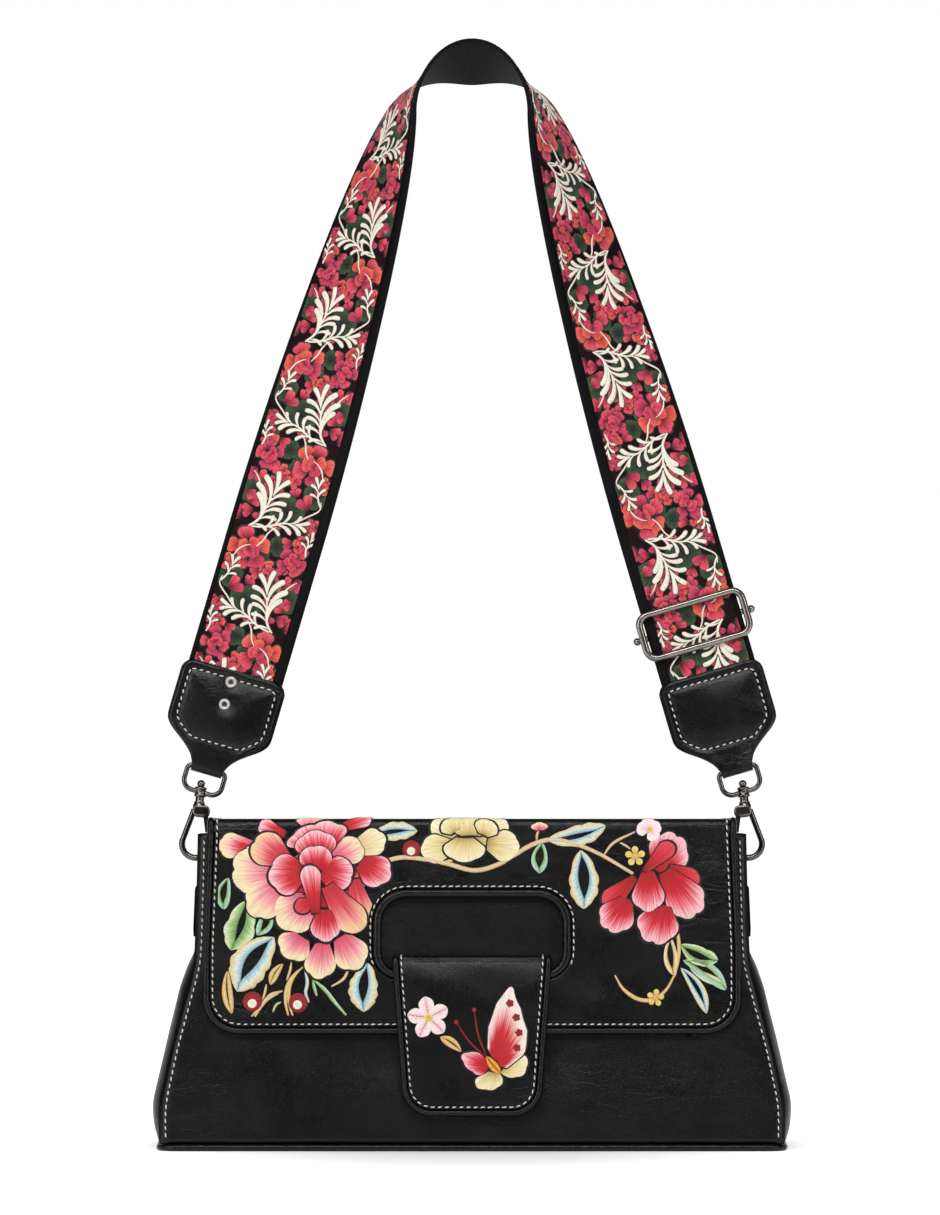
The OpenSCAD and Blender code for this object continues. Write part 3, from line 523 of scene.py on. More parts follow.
# Body: two panels, two gussets and a padded base, sewn into a flared shell
body = {
    "baseW": 295, "baseD": 80, "height": 153.2, "topD": 40.8, "topW": 258.6, "shoulderW": 242, "swell": 5,
    "panelT": 2.2, "gussetT": 1.8, "panelLow": 3.9, "panelHigh": 149.5, "seamIn": 2.7, "seamSink": 0.25,
    "pipingR": 1.7, "cornerR": 8, "padIn": 1.75, "padR": 6.5,
}
# How far the leather rolls in, dips along its seams, puffs out and wobbles, and how far each of these reaches
panelForm = {"roll": 1.5, "rollReach": 2.2, "dip": 0.3, "dipReach": 0.8, "puff": 1.1, "puffTop": 52, "wobble": 0.35}
gussetForm = {"fold": 0.9, "foldReach": 0.22, "pinch": 0.5, "pinchReach": 0.09, "wobble": 0.25}
frontFlare = [(0, .97), (.05, 1), (.14, 1), (.31, .7), (.45, .38), (.575, .1), (.68, .06), (.82, .03), (1, 0)]
backFlare = [(0, .97), (.05, 1), (.14, 1), (.31, .8), (.45, .55), (.575, .34), (.64, .23), (.8, .19), (.85, .02),
             (1, 0)]
swellShares = [(0, .1), (.07, .75), (.14, .9), (.31, .75), (.5, 1), (.57, .8), (.63, .1), (.8, 0), (.85, -.4),
               (1, -1)]
panelTilt = math.atan((body["baseD"] - body["topD"]) / 2 / body["height"])


def frontHalf(z):
    return mix(body["topW"], body["baseW"], softLookup(frontFlare, z / body["height"])) / 2


def backHalf(z):
    return mix(body["shoulderW"], body["baseW"], softLookup(backFlare, z / body["height"], 0.02)) / 2


def depthHalf(z):
    return mix(body["baseD"], body["topD"], z / body["height"]) / 2


def gussetX(z, share):
    swell = body["swell"] * softLookup(swellShares, z / body["height"], 0.02)
    return mix(frontHalf(z), backHalf(z), (share + 1) / 2) - 0.4 + swell * (1 - abs(share) ** 5)


def onFront(x, v, d=0.0):
    # x across, v up the slanted front panel, d out from its face
    return Vector((x, -body["baseD"] / 2 + v * math.sin(panelTilt) - d * math.cos(panelTilt),
                   v * math.cos(panelTilt) + d * math.sin(panelTilt)))


def onBack(x, v, d=0.0):
    p = onFront(x, v, d)
    return Vector((p.x, -p.y, p.z))


def sewnSheet(name, outer, inner, cols, turnRound, node):
    # Two skins on one grid, joined all round
    n, rows = len(outer), len(outer) // cols
    faces = gridFaces(rows, cols) + flipped(gridFaces(rows, cols, offset=n))
    loop = ([(0, j) for j in range(cols)] + [(i, cols - 1) for i in range(1, rows)]
            + [(rows - 1, j) for j in range(cols - 2, -1, -1)] + [(i, 0) for i in range(rows - 2, 0, -1)])
    for (a, b), (c, d) in zip(loop, loop[1:] + loop[:1]):
        p, q = a * cols + b, c * cols + d
        faces.append((q, p, p + n, q + n))
    makePiece(name, outer + inner, flipped(faces) if turnRound else faces, [panelLeather], body="bag_body",
              replaces=[node], slot="leather")


def panelSheet(name, side, half, node):
    place = onFront if side < 0 else onBack
    low, high = body["panelLow"] / math.cos(panelTilt), body["panelHigh"] / math.cos(panelTilt)
    us = [-1 + 2 * i / 96 for i in range(97)]
    form, reach, top = panelForm, panelForm["rollReach"], panelForm["puffTop"]
    outer, inner = [], []
    for v in ticks(low, high, 2.4):
        w = half(v * math.cos(panelTilt)) + 0.5
        for u in us:
            x = w * u
            edge = w - abs(x)
            roll = form["roll"] * (1 - math.sqrt(max(0, 1 - (1 - min(edge, reach) / reach) ** 2)))
            dip = form["dip"] * math.exp(-((edge - body["seamIn"] - 0.5) / form["dipReach"]) ** 2)
            lowPart = 1 - smoothStep(24, top, v)
            puff = form["puff"] * math.sin(math.pi * min(1, v / top)) * (1 - u * u) * lowPart
            wobble = noise.noise(Vector((x / 45, v / 38, 3 * side)))
            wobble = form["wobble"] * wobble * smoothStep(0, 14, edge) * lowPart
            outer.append(place(x, v, puff + wobble - roll - dip))
            inner.append(place(x, v, -body["panelT"] - roll * 0.2))
    sewnSheet(name, outer, inner, len(us), side > 0, node)


panelSheet("frontPanelLeather", -1, frontHalf, "front_panel")


def gussetSheet(name, side, node):
    shares = [-1 + 2 * i / 24 for i in range(25)]
    form = gussetForm
    outer, inner = [], []
    for z in ticks(body["panelLow"], body["panelHigh"], 2.6):
        reach = depthHalf(z) - body["panelT"] * 0.9
        for s in shares:
            fold = form["fold"] * smoothStep(20, 90, z) * math.exp(-(s / form["foldReach"]) ** 2)
            fold *= 1 - smoothStep(92, 108, z)
            pinch = form["pinch"] * math.exp(-((1 - abs(s)) / form["pinchReach"]) ** 2)
            wobble = form["wobble"] * noise.noise(Vector((z / 22, s * 3, side * 5)))
            x = gussetX(z, s) - fold - pinch + wobble
            outer.append(Vector((side * x, s * reach, z)))
            inner.append(Vector((side * (gussetX(z, s) - body["gussetT"] - 0.2), s * reach, z)))
    sewnSheet(name, outer, inner, len(shares), side < 0, node)


gussetSheet("leftGussetLeather", -1, "left_gusset")
gussetSheet("rightGussetLeather", 1, "right_gusset")


def seamPath(side, half, low, high):
    return [(side * (half(v * math.cos(panelTilt)) - body["seamIn"]), v) for v in ticks(low, high, 3)]


for side, word in sides:
    for part, place, half, high in (("Front", onFront, frontHalf, 148), ("Back", onBack, backHalf, 140)):
        stitchRow(word + part + "Seam", seamPath(side, half, 6, high),
                  lambda x, v, d: place(x, v, d - body["seamSink"]), "bag_body")


def roundRectPath(w, d, r, step):
    return filletPath([(-w / 2, -d / 2), (w / 2, -d / 2), (w / 2, d / 2), (-w / 2, d / 2)], [r] * 4, step, True)


def basePieces():
    w, d, r = body["baseW"], body["baseD"], body["pipingR"]
    path = roundRectPath(w, d, body["cornerR"], 3)
    points = []
    for i, p in enumerate(path):
        side = sideways(path, i, True)
        for k in range(10):
            a = 2 * math.pi * k / 10
            spot = p + side * r * math.cos(a)
            points.append((spot.x, spot.y, r + r * math.sin(a)))
    makePiece("basePiping", points, gridFaces(len(path), 10, True, True), [edgeLeather], body="bag_body",
              replaces=["base_piping"], slot="leather")
    # The base is a leather-covered pad with a softly rounded rim
    path = roundRectPath(w - 2 * body["padIn"], d - 2 * body["padIn"], body["padR"], 3)
    rings = [(0.9, 0.0), (0.25, 0.35), (0, 1.2), (0, 2.4), (0.3, 3.2), (1.0, 3.5)]
    points = []
    for inset, z in rings:
        for i, p in enumerate(path):
            spot = p - sideways(path, i, True) * inset
            points.append((spot.x, spot.y, z))
    makePiece("baseLeather", points, tubeFaces(len(rings), len(path)), [panelLeather], body="bag_body",
              replaces=["base_panel"], slot="leather")


basePieces()
print("body sewn")


# Flap: one sheet that starts on the back panel, runs over the top and falls down the front
flap = {
    "gap": 0.6, "liningT": 0.8, "t": 2.4, "topW": 250, "w": 254, "backW": 242, "low": 55.45, "cornerR": 17,
    "edgeW": 3.3, "foldR": 3.2, "frontY": -20.995, "rearY": 17.2, "frontZ": 153.276, "slope": 1.8, "backDown": 4,
    "wideFrom": 96, "topCornerV": 150, "stitchIn": 1.1, "stitchSink": 0.12, "threadIn": 2.2, "sheetHalf": 128,
    "backHalf": 122, "beyond": 130, "swell": 0.32, "ripple": 0.12,
}
flap["rearZ"] = body["height"] - flap["slope"]
flap["foldV"] = body["height"] / math.cos(panelTilt)
flap["face"] = flap["gap"] + flap["liningT"] + flap["t"]
turnOne = math.pi / 2 - panelTilt                     # the sheet turns this far over each fold
foldRun = flap["foldR"] * turnOne
topRun = flap["rearY"] - flap["frontY"]
foldFrom, topFrom = flap["foldV"], flap["foldV"] + foldRun
rearFrom = topFrom + topRun
backFrom = rearFrom + foldRun


def onFlap(x, v, lift=0.0):
    # v runs up the front, over the front fold, across the top, over the rear fold and down the back
    r = flap["foldR"]
    if v <= foldFrom:
        return onFront(x, v, flap["face"] + lift)
    if v <= topFrom:
        a = panelTilt + (v - foldFrom) / r
        c = onFront(x, foldFrom, flap["gap"])
        return Vector((x, c.y - (r + lift) * math.cos(a), c.z + (r + lift) * math.sin(a)))
    if v <= rearFrom:
        z = mix(flap["frontZ"], flap["rearZ"], (v - topFrom) / topRun)
        return Vector((x, flap["frontY"] + v - topFrom, z + r + lift))
    if v <= backFrom:
        a = (v - rearFrom) / r
        return Vector((x, flap["rearY"] + (r + lift) * math.sin(a), flap["rearZ"] + (r + lift) * math.cos(a)))
    return onBack(x, foldFrom - flap["slope"] - (v - backFrom), lift)


frontBend = ("flap_top", "flap_drape", (0, flap["frontY"] + 1.5, 158), (0, flap["frontY"] - 4.2, 151.5))
rearBend = ("bag_body", "flap_top", (0, flap["rearY"] + 4.2, 151.5), (0, flap["rearY"] - 1.5, 158))
seamV = topFrom + topRun / 2


def flapHalf(v):
    if v <= foldFrom:
        return mix(flap["w"], flap["topW"], smoothStep(60, 154, v)) / 2
    return mix(flap["topW"], flap["backW"], smoothStep(seamV, backFrom, v)) / 2


def mirroredPath(right, radii, step):
    # The left side down from the first corner, then the right side up
    corners = [(-x, v) for x, v in right] + right[::-1]
    return filletPath(corners, radii + radii[::-1], step)


flapEdgePath = mirroredPath(
    [(flapHalf(seamV), seamV), (flap["topW"] / 2, topFrom), (flap["topW"] / 2, flap["topCornerV"]),
     (flap["w"] / 2, flap["wideFrom"]), (flap["w"] / 2, flap["low"])], [0, 40, 30, 200, flap["cornerR"]], 1.6)

hand = {
    "w": 85.6, "top": 119.95, "low": 85.3, "r": 11.8, "lowR": 9, "rimW": 4.4, "openW": 60, "stitchIn": 0.9,
    "stitchLow": 86.5, "clear": 1.9,
}


def handPath(grow, step=1.5):
    # The opening's outline from the tab's left side over the top to its right side
    half, low, top = hand["w"] / 2 + grow, hand["low"] - grow, hand["top"] + grow
    return filletPath(
        [(-hand["openW"] / 2, low), (-half, low), (-half, top), (half, top), (half, low), (hand["openW"] / 2, low)],
        [0, hand["lowR"] + grow, hand["r"] + grow, hand["r"] + grow, hand["lowR"] + grow, 0], step)


def pastCorner(x, v, cornerX, cornerV, r):
    # Outside a round corner whose centre is given; its upright side faces outwards and its level side down
    return abs(x) > cornerX and v < cornerV and math.hypot(abs(x) - cornerX, v - cornerV) > r


def inHand(x, v, grow):
    half, low, top = hand["w"] / 2 + grow, hand["low"] - grow, hand["top"] + grow
    if abs(x) > half or not low < v < top:
        return False
    r, lowR = hand["r"] + grow, hand["lowR"] + grow
    return not (pastCorner(x, -v, half - r, r - top, r) or pastCorner(x, v, half - lowR, low + lowR, lowR))


def insetPath(path, inset):
    return [p + sideways(path, i) * -inset for i, p in enumerate(path)]


flapInner = insetPath(flapEdgePath, flap["edgeW"])
handStitchPath = handPath(hand["rimW"] + hand["stitchIn"])


def inFlap(x, v):
    if v < flap["low"] + flap["edgeW"] or abs(x) > flapHalf(v) - flap["edgeW"]:
        return False
    r = flap["cornerR"]
    return not (pastCorner(x, v, flap["w"] / 2 - r, flap["low"] + r, r - flap["edgeW"]) or inHand(x, v, hand["rimW"]))


def stitchDip(rough, p, depth=0.35, wide=1.1):
    # The leather is drawn in along a row of stitches
    return depth * math.exp(-(nearest(rough, p)[0] / wide) ** 2)


def flapRelief(x, v):
    p = Vector((x, v))
    lift = flap["swell"] * noise.noise(Vector((x / 26, v / 18, 1.7)))
    lift += flap["ripple"] * noise.noise(Vector((x / 9, v / 7, 4.2)))
    lift *= smoothStep(158, 146, v) if v > 146 else 1
    lift -= stitchDip(flapStitchRough, p)
    if v < 132 and abs(x) < 60:
        lift -= stitchDip(handStitchRough, p)
    return lift


flapStitchPath = insetPath(flapEdgePath, flap["edgeW"] + flap["stitchIn"])
flapStitchRough = evenPath(flapStitchPath, 9)
handStitchRough = evenPath(handStitchPath, 6)
seamLine = acrossLine(flap["beyond"], seamV)
thickSheet("flapDrapeLeather", onFlap, ticks(-flap["sheetHalf"], flap["sheetHalf"], 2.0),
           ticks(flap["low"], seamV, 2.0), lambda x, v: inFlap(x, v) and v < seamV,
           [flapInner, handPath(hand["rimW"]), seamLine], flap["t"] - 0.1, flapLeather, frontBend, flapRelief,
           replaces=["flap_front", "flap_cover"], slot="leather")
rearEdges = [[Vector((side * (flapHalf(v) - flap["edgeW"]), v)) for v in ticks(seamV, backFrom + flap["backDown"], 2)]
             for side in (-1, 1)]
thickSheet("flapBackLeather", onFlap, ticks(-flap["backHalf"], flap["backHalf"], 3.0),
           ticks(seamV, backFrom + flap["backDown"], 2.0), lambda x, v: abs(x) < flapHalf(v) - flap["edgeW"],
           [seamLine] + rearEdges, flap["t"] - 0.1, flapLeather, rearBend, slot="leather")

edgeProfile = [(a - flap["edgeW"] * 0.98, b) for a, b in roundProfile(flap["edgeW"] + 0.3, -3.1, 0.75)]
sweptEdge("flapRolledEdge", flapEdgePath, edgeProfile, onFlap, frontBend, ["flap_edge"])
for side, word in sides:
    rearPath = [Vector((side * flapHalf(v), v)) for v in ticks(seamV, backFrom + flap["backDown"] + 1, 1.6)[::side]]
    sweptEdge(word + "RearEdge", rearPath, edgeProfile, onFlap, rearBend)
stitchRow("flapStitches", flapStitchPath, onFlap, frontBend, -flap["stitchSink"])

rimProfile = [(-a + 0.2, b) for a, b in roundProfile(hand["rimW"] + 0.3, -3.2, 1.15)]
sweptEdge("handOpeningRim", handPath(0), rimProfile, onFlap, "flap_drape", ["handle_binding"])
stitchRow("handOpeningStitches", [p for p in handStitchPath if p.y > hand["stitchLow"]], onFlap, "flap_drape",
          -flap["stitchSink"])
print("flap cut and edged")


# Closure tab: folds over the lower edge of the hand opening and snaps to the front panel
tab = {
    "near": 4.2, "liningT": 0.7, "t": 2.4, "topW": 74.6, "endW": 64, "v": 89.055, "len": 72.5, "cornerR": 14,
    "edgeW": 2.8, "r": 3.5, "stitchIn": 1.0, "sheetHalf": 38, "beyond": 40, "swell": 0.28, "sink": 1.45,
}
tab["face"] = tab["near"] + tab["liningT"] + tab["t"]
tab["low"] = tab["v"] - tab["len"]
tabRun = tab["r"] * math.pi


def onTab(x, v, lift=0.0):
    # v runs up the tab's front, over its fold and down inside
    c = tab["face"] - tab["r"]
    if v <= tab["v"]:
        return onFront(x, v, tab["face"] + lift)
    if v <= tab["v"] + tabRun:
        a = (v - tab["v"]) / tab["r"]
        return onFront(x, tab["v"] + (tab["r"] + lift) * math.sin(a), c + (tab["r"] + lift) * math.cos(a))
    return onFront(x, tab["v"] - (v - tab["v"] - tabRun), c - tab["r"] - lift)


def tabHalf(v):
    share = (v - tab["low"] - tab["cornerR"]) / (tab["len"] - tab["cornerR"])
    return mix(tab["endW"], tab["topW"], min(1, max(0, share))) / 2


tabTop = tab["v"] + tabRun
tabEdgePath = mirroredPath(
    [(tab["topW"] / 2, tabTop), (tab["topW"] / 2, tab["v"]), (tab["endW"] / 2, tab["low"])],
    [0, 30, tab["cornerR"]], 1.4)
tabInner = insetPath(tabEdgePath, tab["edgeW"])
tabStitchPath = insetPath(tabEdgePath, tab["edgeW"] + tab["stitchIn"])
tabStitchRough = evenPath(tabStitchPath, 6)


def inTab(x, v):
    inset, r = tab["edgeW"], tab["cornerR"]
    if v < tab["low"] + inset or abs(x) > tabHalf(v) - inset:
        return False
    return not pastCorner(x, v, tab["endW"] / 2 - r + 0.6, tab["low"] + r, r - inset)


def tabRelief(x, v):
    # The leather sinks towards its fold
    lift = tab["swell"] * noise.noise(Vector((x / 20, v / 16, 8.7))) * (1 - smoothStep(78, 88, v))
    lift -= tab["sink"] * max(0.0, (min(v, 91) - 77) / 13) ** 2 * (1 - smoothStep(90.5, 95, v))
    return lift - stitchDip(tabStitchRough, Vector((x, v)), 0.32, 1.0) * (1 - smoothStep(92, 96, v))


thickSheet("tabLeather", onTab, ticks(-tab["sheetHalf"], tab["sheetHalf"], 1.5), ticks(tab["low"], tabTop, 1.5), inTab,
           [tabInner, acrossLine(tab["beyond"], tabTop)], tab["t"] - 0.1, flapLeather, "tab", tabRelief,
           replaces=["closure_tab"], slot="leather")
tabProfile = [(a - tab["edgeW"] * 0.98, b) for a, b in roundProfile(tab["edgeW"] + 0.35, -2.9, 0.6)]
sweptEdge("tabRolledEdge", tabEdgePath, tabProfile, onTab, "tab", ["tab_edge"])
stitchRow("tabStitches", tabStitchPath, onTab, "tab", -flap["stitchSink"])
print("tab sewn")


# Back panel and linings
lining = {"topV": 149, "tabTopIn": 4, "coverIn": 4, "coverHalf": 121}


def backAndLinings():
    panelSheet("backPanelLeather", 1, backHalf, "back_panel")
    topV = lining["topV"]
    thickSheet("flapLiningCloth", lambda x, v, d: onFront(x, v, flap["gap"] + flap["liningT"] - 0.15 + d),
               ticks(-flap["sheetHalf"], flap["sheetHalf"], 3.2), ticks(flap["low"], topV, 3.2),
               lambda x, v: inFlap(x, v) and v < topV,
               [flapInner, handPath(hand["rimW"]), acrossLine(flap["beyond"], topV)], flap["liningT"] - 0.2,
               liningCloth, "flap_drape", replaces=["flap_lining"], slot="lining")
    thickSheet("coverLiningCloth", lambda x, v, d: onFlap(x, v, d - flap["t"]),
               ticks(-lining["coverHalf"], lining["coverHalf"], 4),
               ticks(topFrom + lining["coverIn"], rearFrom - lining["coverIn"], 3), lambda x, v: True, [],
               flap["liningT"] - 0.1, liningCloth, "flap_top", replaces=["cover_lining"], slot="lining")
    topV = tab["v"] - lining["tabTopIn"]
    thickSheet("tabLiningCloth", lambda x, v, d: onFront(x, v, tab["near"] + tab["liningT"] - 0.1 + d),
               ticks(-tab["sheetHalf"], tab["sheetHalf"], 2), ticks(tab["low"], topV, 2),
               lambda x, v: inTab(x, v) and v < topV, [tabInner], tab["liningT"] - 0.15, liningCloth, "tab",
               replaces=["tab_lining"], slot="lining")


backAndLinings()
print("linings in")


# Strap: webbing with a patterned ribbon, running up one leg, over the crown and down the other
strap = {
    "ringY": 18, "axisZ": 136.35, "lean": 6, "neckX": 126.962, "neckV": 39.8, "legTilt": 16.2858, "legLen": 329.517,
    "halfLen": 375.833, "crownR": 36, "crownC": 346, "w": 46.4, "t": 2.0, "ribbonT": 0.5, "outerMargin": 2.2,
    "innerMargin": 4.8, "flatLen": 122, "from": 22, "ribbonFrom": 46, "crownTurn": 110.4, "fastShare": 0.413,
    "fastReach": 0.13, "ease": 0.05,
}


def inStrapFrame(x, t, h):
    a = math.radians(strap["lean"])
    return Vector((x, strap["ringY"] + t * math.cos(a) + h * math.sin(a),
                   strap["axisZ"] - t * math.sin(a) + h * math.cos(a)))


def inLeg(side, a, t, b):
    tilt = math.radians(strap["legTilt"])
    return inStrapFrame(side * strap["neckX"] + a * math.cos(tilt) - side * b * math.sin(tilt), t,
                        strap["neckV"] + side * a * math.sin(tilt) + b * math.cos(tilt))


def strapTurn(s):
    v = min(1, (strap["halfLen"] - s) / (strap["halfLen"] - strap["flatLen"]))
    reach, ease = strap["fastReach"], strap["ease"]
    fast = v * v / (v * v + reach ** 2) * (1 + reach ** 2)
    slow = (math.hypot(v, ease) - ease) / (math.hypot(1, ease) - ease)
    return math.radians(strap["crownTurn"]) * (1 - mix(slow, fast, strap["fastShare"]))


def onStrap(s, x, lift=0.0):
    # s runs from the left neck over the crown to the right neck, x from the outer to the inner edge
    mirrored = s > strap["halfLen"]
    if mirrored:
        s = 2 * strap["halfLen"] - s
    tilt = math.radians(strap["legTilt"])
    if s <= strap["legLen"]:
        d = (math.sin(tilt), math.cos(tilt))
        p = (-strap["neckX"] + s * d[0], strap["neckV"] + s * d[1])
    else:
        a = math.pi - tilt - (s - strap["legLen"]) / strap["crownR"]
        p = (strap["crownR"] * math.cos(a), strap["crownC"] + strap["crownR"] * math.sin(a))
        d = (math.sin(a), -math.cos(a))
    a = strapTurn(s)
    w = Vector((math.cos(a) * d[1], -math.sin(a), -math.cos(a) * d[0]))
    up = Vector((d[0], 0, d[1]))
    n = w.cross(up)
    q = Vector((p[0], 0, p[1])) + w * x + n * lift
    return inStrapFrame(-q.x if mirrored else q.x, q.y, q.z)


ribbonFrom = -strap["w"] / 2 + strap["outerMargin"]
ribbonTo = strap["w"] / 2 - strap["innerMargin"]
strapEnd = 2 * strap["halfLen"]


def strapSweep(name, section, start, step, material, turnRound, node, slot):
    rows = ticks(start, strapEnd - start, step)
    points, uvs = [], []
    for s in rows:
        for x, lift in section:
            points.append(onStrap(s, x, lift))
            uvs.append((s, x))
    faces = tubeFaces(len(rows), len(section), ends=-1)
    makePiece(name, points, flipped(faces) if turnRound else faces, [material], uvs, body="strap", replaces=[node],
              slot=slot)


def strapPieces():
    # The webbing's section: rounded selvedges and a face that dips under the ribbon
    half, level = strap["w"] / 2, strap["t"] / 2
    low, ribbonLow = -level, level - strap["ribbonT"]
    section = [(-half, 0), (-half + 0.5, low + 0.15), (-half + 1.6, low), (half - 1.6, low), (half - 0.5, low + 0.15),
               (half, 0), (half - 0.5, ribbonLow + 0.25), (half - 1.6, ribbonLow + 0.4),
               (ribbonTo + 0.8, ribbonLow + 0.3), (ribbonTo, ribbonLow - 0.05), (ribbonFrom, ribbonLow - 0.05),
               (ribbonFrom - 0.8, ribbonLow + 0.3), (-half + 0.5, ribbonLow + 0.25)]
    strapSweep("strapWebbing", section, strap["from"], 2.5, webbing, True, "strap_webbing", "webbing")
    # The ribbon lies on it with its edges turned under
    section = [(ribbonFrom - 0.1, ribbonLow), (ribbonFrom + 0.1, level - 0.12), (ribbonFrom + 0.5, level),
               ((ribbonFrom + ribbonTo) / 2, level + 0.05), (ribbonTo - 0.5, level), (ribbonTo - 0.1, level - 0.12),
               (ribbonTo + 0.1, ribbonLow)]
    strapSweep("strapRibbon", section, strap["ribbonFrom"], 2.0, ribbonGround, False, "strap_ribbon", "ribbon")


def threadCloth(name, dark, light, pitchMm, roughness, depthMm):
    # Woven straight from coloured yarn; the UV map is in millimetres along and across the strap, and a wave
    # texture of scale 1 repeats every 0.314 units
    material, tree, surface, place = newMaterial(name, Roughness=roughness, Specular_IOR_Level=0.12)
    at = place.outputs["UV"]
    wave = {"Vector": at, "Scale": 0.314 / pitchMm, "Distortion": 0.4}
    along = addNode(tree, "TexWave", wave, bands_direction="X").outputs["Fac"]
    across = addNode(tree, "TexWave", wave, bands_direction="Y").outputs["Fac"]
    weave = addNode(tree, "Math", {0: along, 1: across}, operation="MULTIPLY")
    cloud = addNode(tree, "TexNoise", {"Vector": at, "Scale": 0.35, "Detail": 3.0})
    tone = addNode(tree, "Math", {0: weave, 1: cloud}, operation="ADD")
    colour = addNode(tree, "ValToRGB", {"Fac": tone}, [(0.3, dark), (1.1, light)])
    ridges = addNode(tree, "Bump", {"Height": weave, "Distance": depthMm * mm, "Strength": 1.0})
    plug(tree, surface, {"Base Color": colour, "Normal": ridges})
    return material


webbing = threadCloth("black nylon webbing", "#030303", "#080809", 1.0, 0.6, 0.12)
ribbonGround = threadCloth("dark red jacquard ground", "#0d0405", "#1f090c", 0.6, 0.65, 0.06)
strapPieces()
print("strap woven")


# Embroidery: every shape is a satin-stitch patch between two curves, its threads running from one to the other
def satinSilk(name, stops, ragged, roughness=0.4, streakMm=0.7):
    # Rayon thread laid side by side: soft gloss, streaks along the threads with painted shade in the low places between
    # them, and colours that meet in long and short stitches. Real threads are 0.4 mm, and the streaks are drawn coarser
    # so that they show.
    material, tree, surface, place = newMaterial(name, Roughness=roughness, Specular_IOR_Level=0.35, Sheen_Weight=0.1)
    at = place.outputs["UV"]
    paintedShadowGlow = addNode(tree, "Mapping", {"Vector": at, "Scale": (1 / streakMm, 0.8, 1.0)})
    streak = addNode(tree, "TexNoise", {"Vector": paintedShadowGlow, "Scale": 1.0, "Detail": 2.0, "Roughness": 0.6})
    shift = addNode(tree, "MapRange", {"Value": streak, 1: 0.3, 2: 0.7, 3: -ragged, 4: ragged})
    reach = addNode(tree, "SeparateXYZ", {"Vector": at}).outputs["Y"]
    reach = addNode(tree, "Math", {0: reach, 1: shift}, operation="ADD")
    colour = addNode(tree, "ValToRGB", {"Fac": reach}, stops)
    fine = addNode(tree, "Mapping", {"Vector": at, "Scale": (2.3 / streakMm, 1.5, 1.0), "Location": (7.0, 3.0, 0.0)})
    line = addNode(tree, "TexNoise", {"Vector": fine, "Scale": 1.0, "Detail": 1.0})
    # The colour is darkened where the thread relief is low: painted shade between the threads
    paintedGrooveShade = addNode(tree, "ValToRGB", {"Fac": line}, [(0.32, 0.72), (0.55, 1.0)])
    mixed = addNode(tree, "Mix", {0: 1.0, 6: colour, 7: paintedGrooveShade}, data_type="RGBA", blend_type="MULTIPLY").outputs[2]
    ridges = addNode(tree, "Bump", {"Height": line, "Distance": 0.16 * mm, "Strength": 1.0})
    plug(tree, surface, {"Base Color": mixed, "Normal": ridges})
    return material


# Words and colours from the inner to the outer end of the threads
silkTones = {
    "deepRed": ("deep red", (0.0, "#8f0a14"), (0.5, "#c41422"), (1.0, "#dd4552")),
    "redPink": ("red to pink", (0.0, "#a60916"), (0.48, "#cb1424"), (0.72, "#e5707f"), (0.92, "#f4c0c3")),
    "pinkCream": ("pink to cream", (0.0, "#d8415a"), (0.36, "#e46f83"), (0.62, "#efa5a4"), (0.82, "#f0dcb2")),
    "redCream": ("red to cream", (0.0, "#b91523"), (0.45, "#d5404f"), (0.74, "#eb9a8f"), (0.95, "#edd09a")),
    "wing": ("red to white", (0.0, "#b70c19"), (0.48, "#d01e2c"), (0.66, "#eea9a6"), (0.8, "#f3e3da")),
    "gold": ("gold to cream", (0.0, "#ab8440"), (0.35, "#dfc888"), (1.0, "#f3e8c0")),
    "tan": ("tan", (0.0, "#c09252"), (0.5, "#e7c98e"), (1.0, "#c99d60")),
    "sand": ("sand", (0.0, "#caa878"), (0.5, "#e3c9a6"), (1.0, "#c9a67a")),
    "blue": ("blue to cream", (0.0, "#7fa9b6"), (0.28, "#b2cdd2"), (0.54, "#d9e2d2"), (0.76, "#decb98")),
    "green": ("green to cream", (0.0, "#5f9150"), (0.45, "#9dbb78"), (0.85, "#d6e0b4")),
    "teal": ("green edged in blue", (0.0, "#6fa05c"), (0.5, "#a8c78e"), (0.9, "#a8d0d6")),
    "pale": ("pale pink", (0.0, "#ecb6bd"), (0.3, "#f5d6d8"), (1.0, "#f8eae7")),
    "yellow": ("yellow", (0.0, "#d39f3c"), (1.0, "#f0d984")),
    "orange": ("orange", (0.0, "#c8741d"), (0.5, "#efb03d"), (1.0, "#d98526")),
    "wine": ("wine red", (0.0, "#7d0d18"), (0.5, "#9d1722"), (1.0, "#7d0d18")),
    "cream": ("cream", (0.0, "#e2d4b4"), (0.5, "#f4ecd8"), (1.0, "#e9ddc0")),
    "black": ("black", (0.0, "#0b0a0b"), (1.0, "#141214")),
}
silk = {key: satinSilk("rayon silk, " + words, stops, 0.13 if key == "wing" else 0.16)
        for key, (words, *stops) in silkTones.items()}
patchRows = [0, 0.03, 0.09, 0.17, 0.26, 0.35, 0.44, 0.53, 0.62, 0.71, 0.8, 0.88, 0.94, 0.98, 1]


def newWork():
    return {"points": [], "faces": [], "uvs": [], "silks": [], "slots": []}


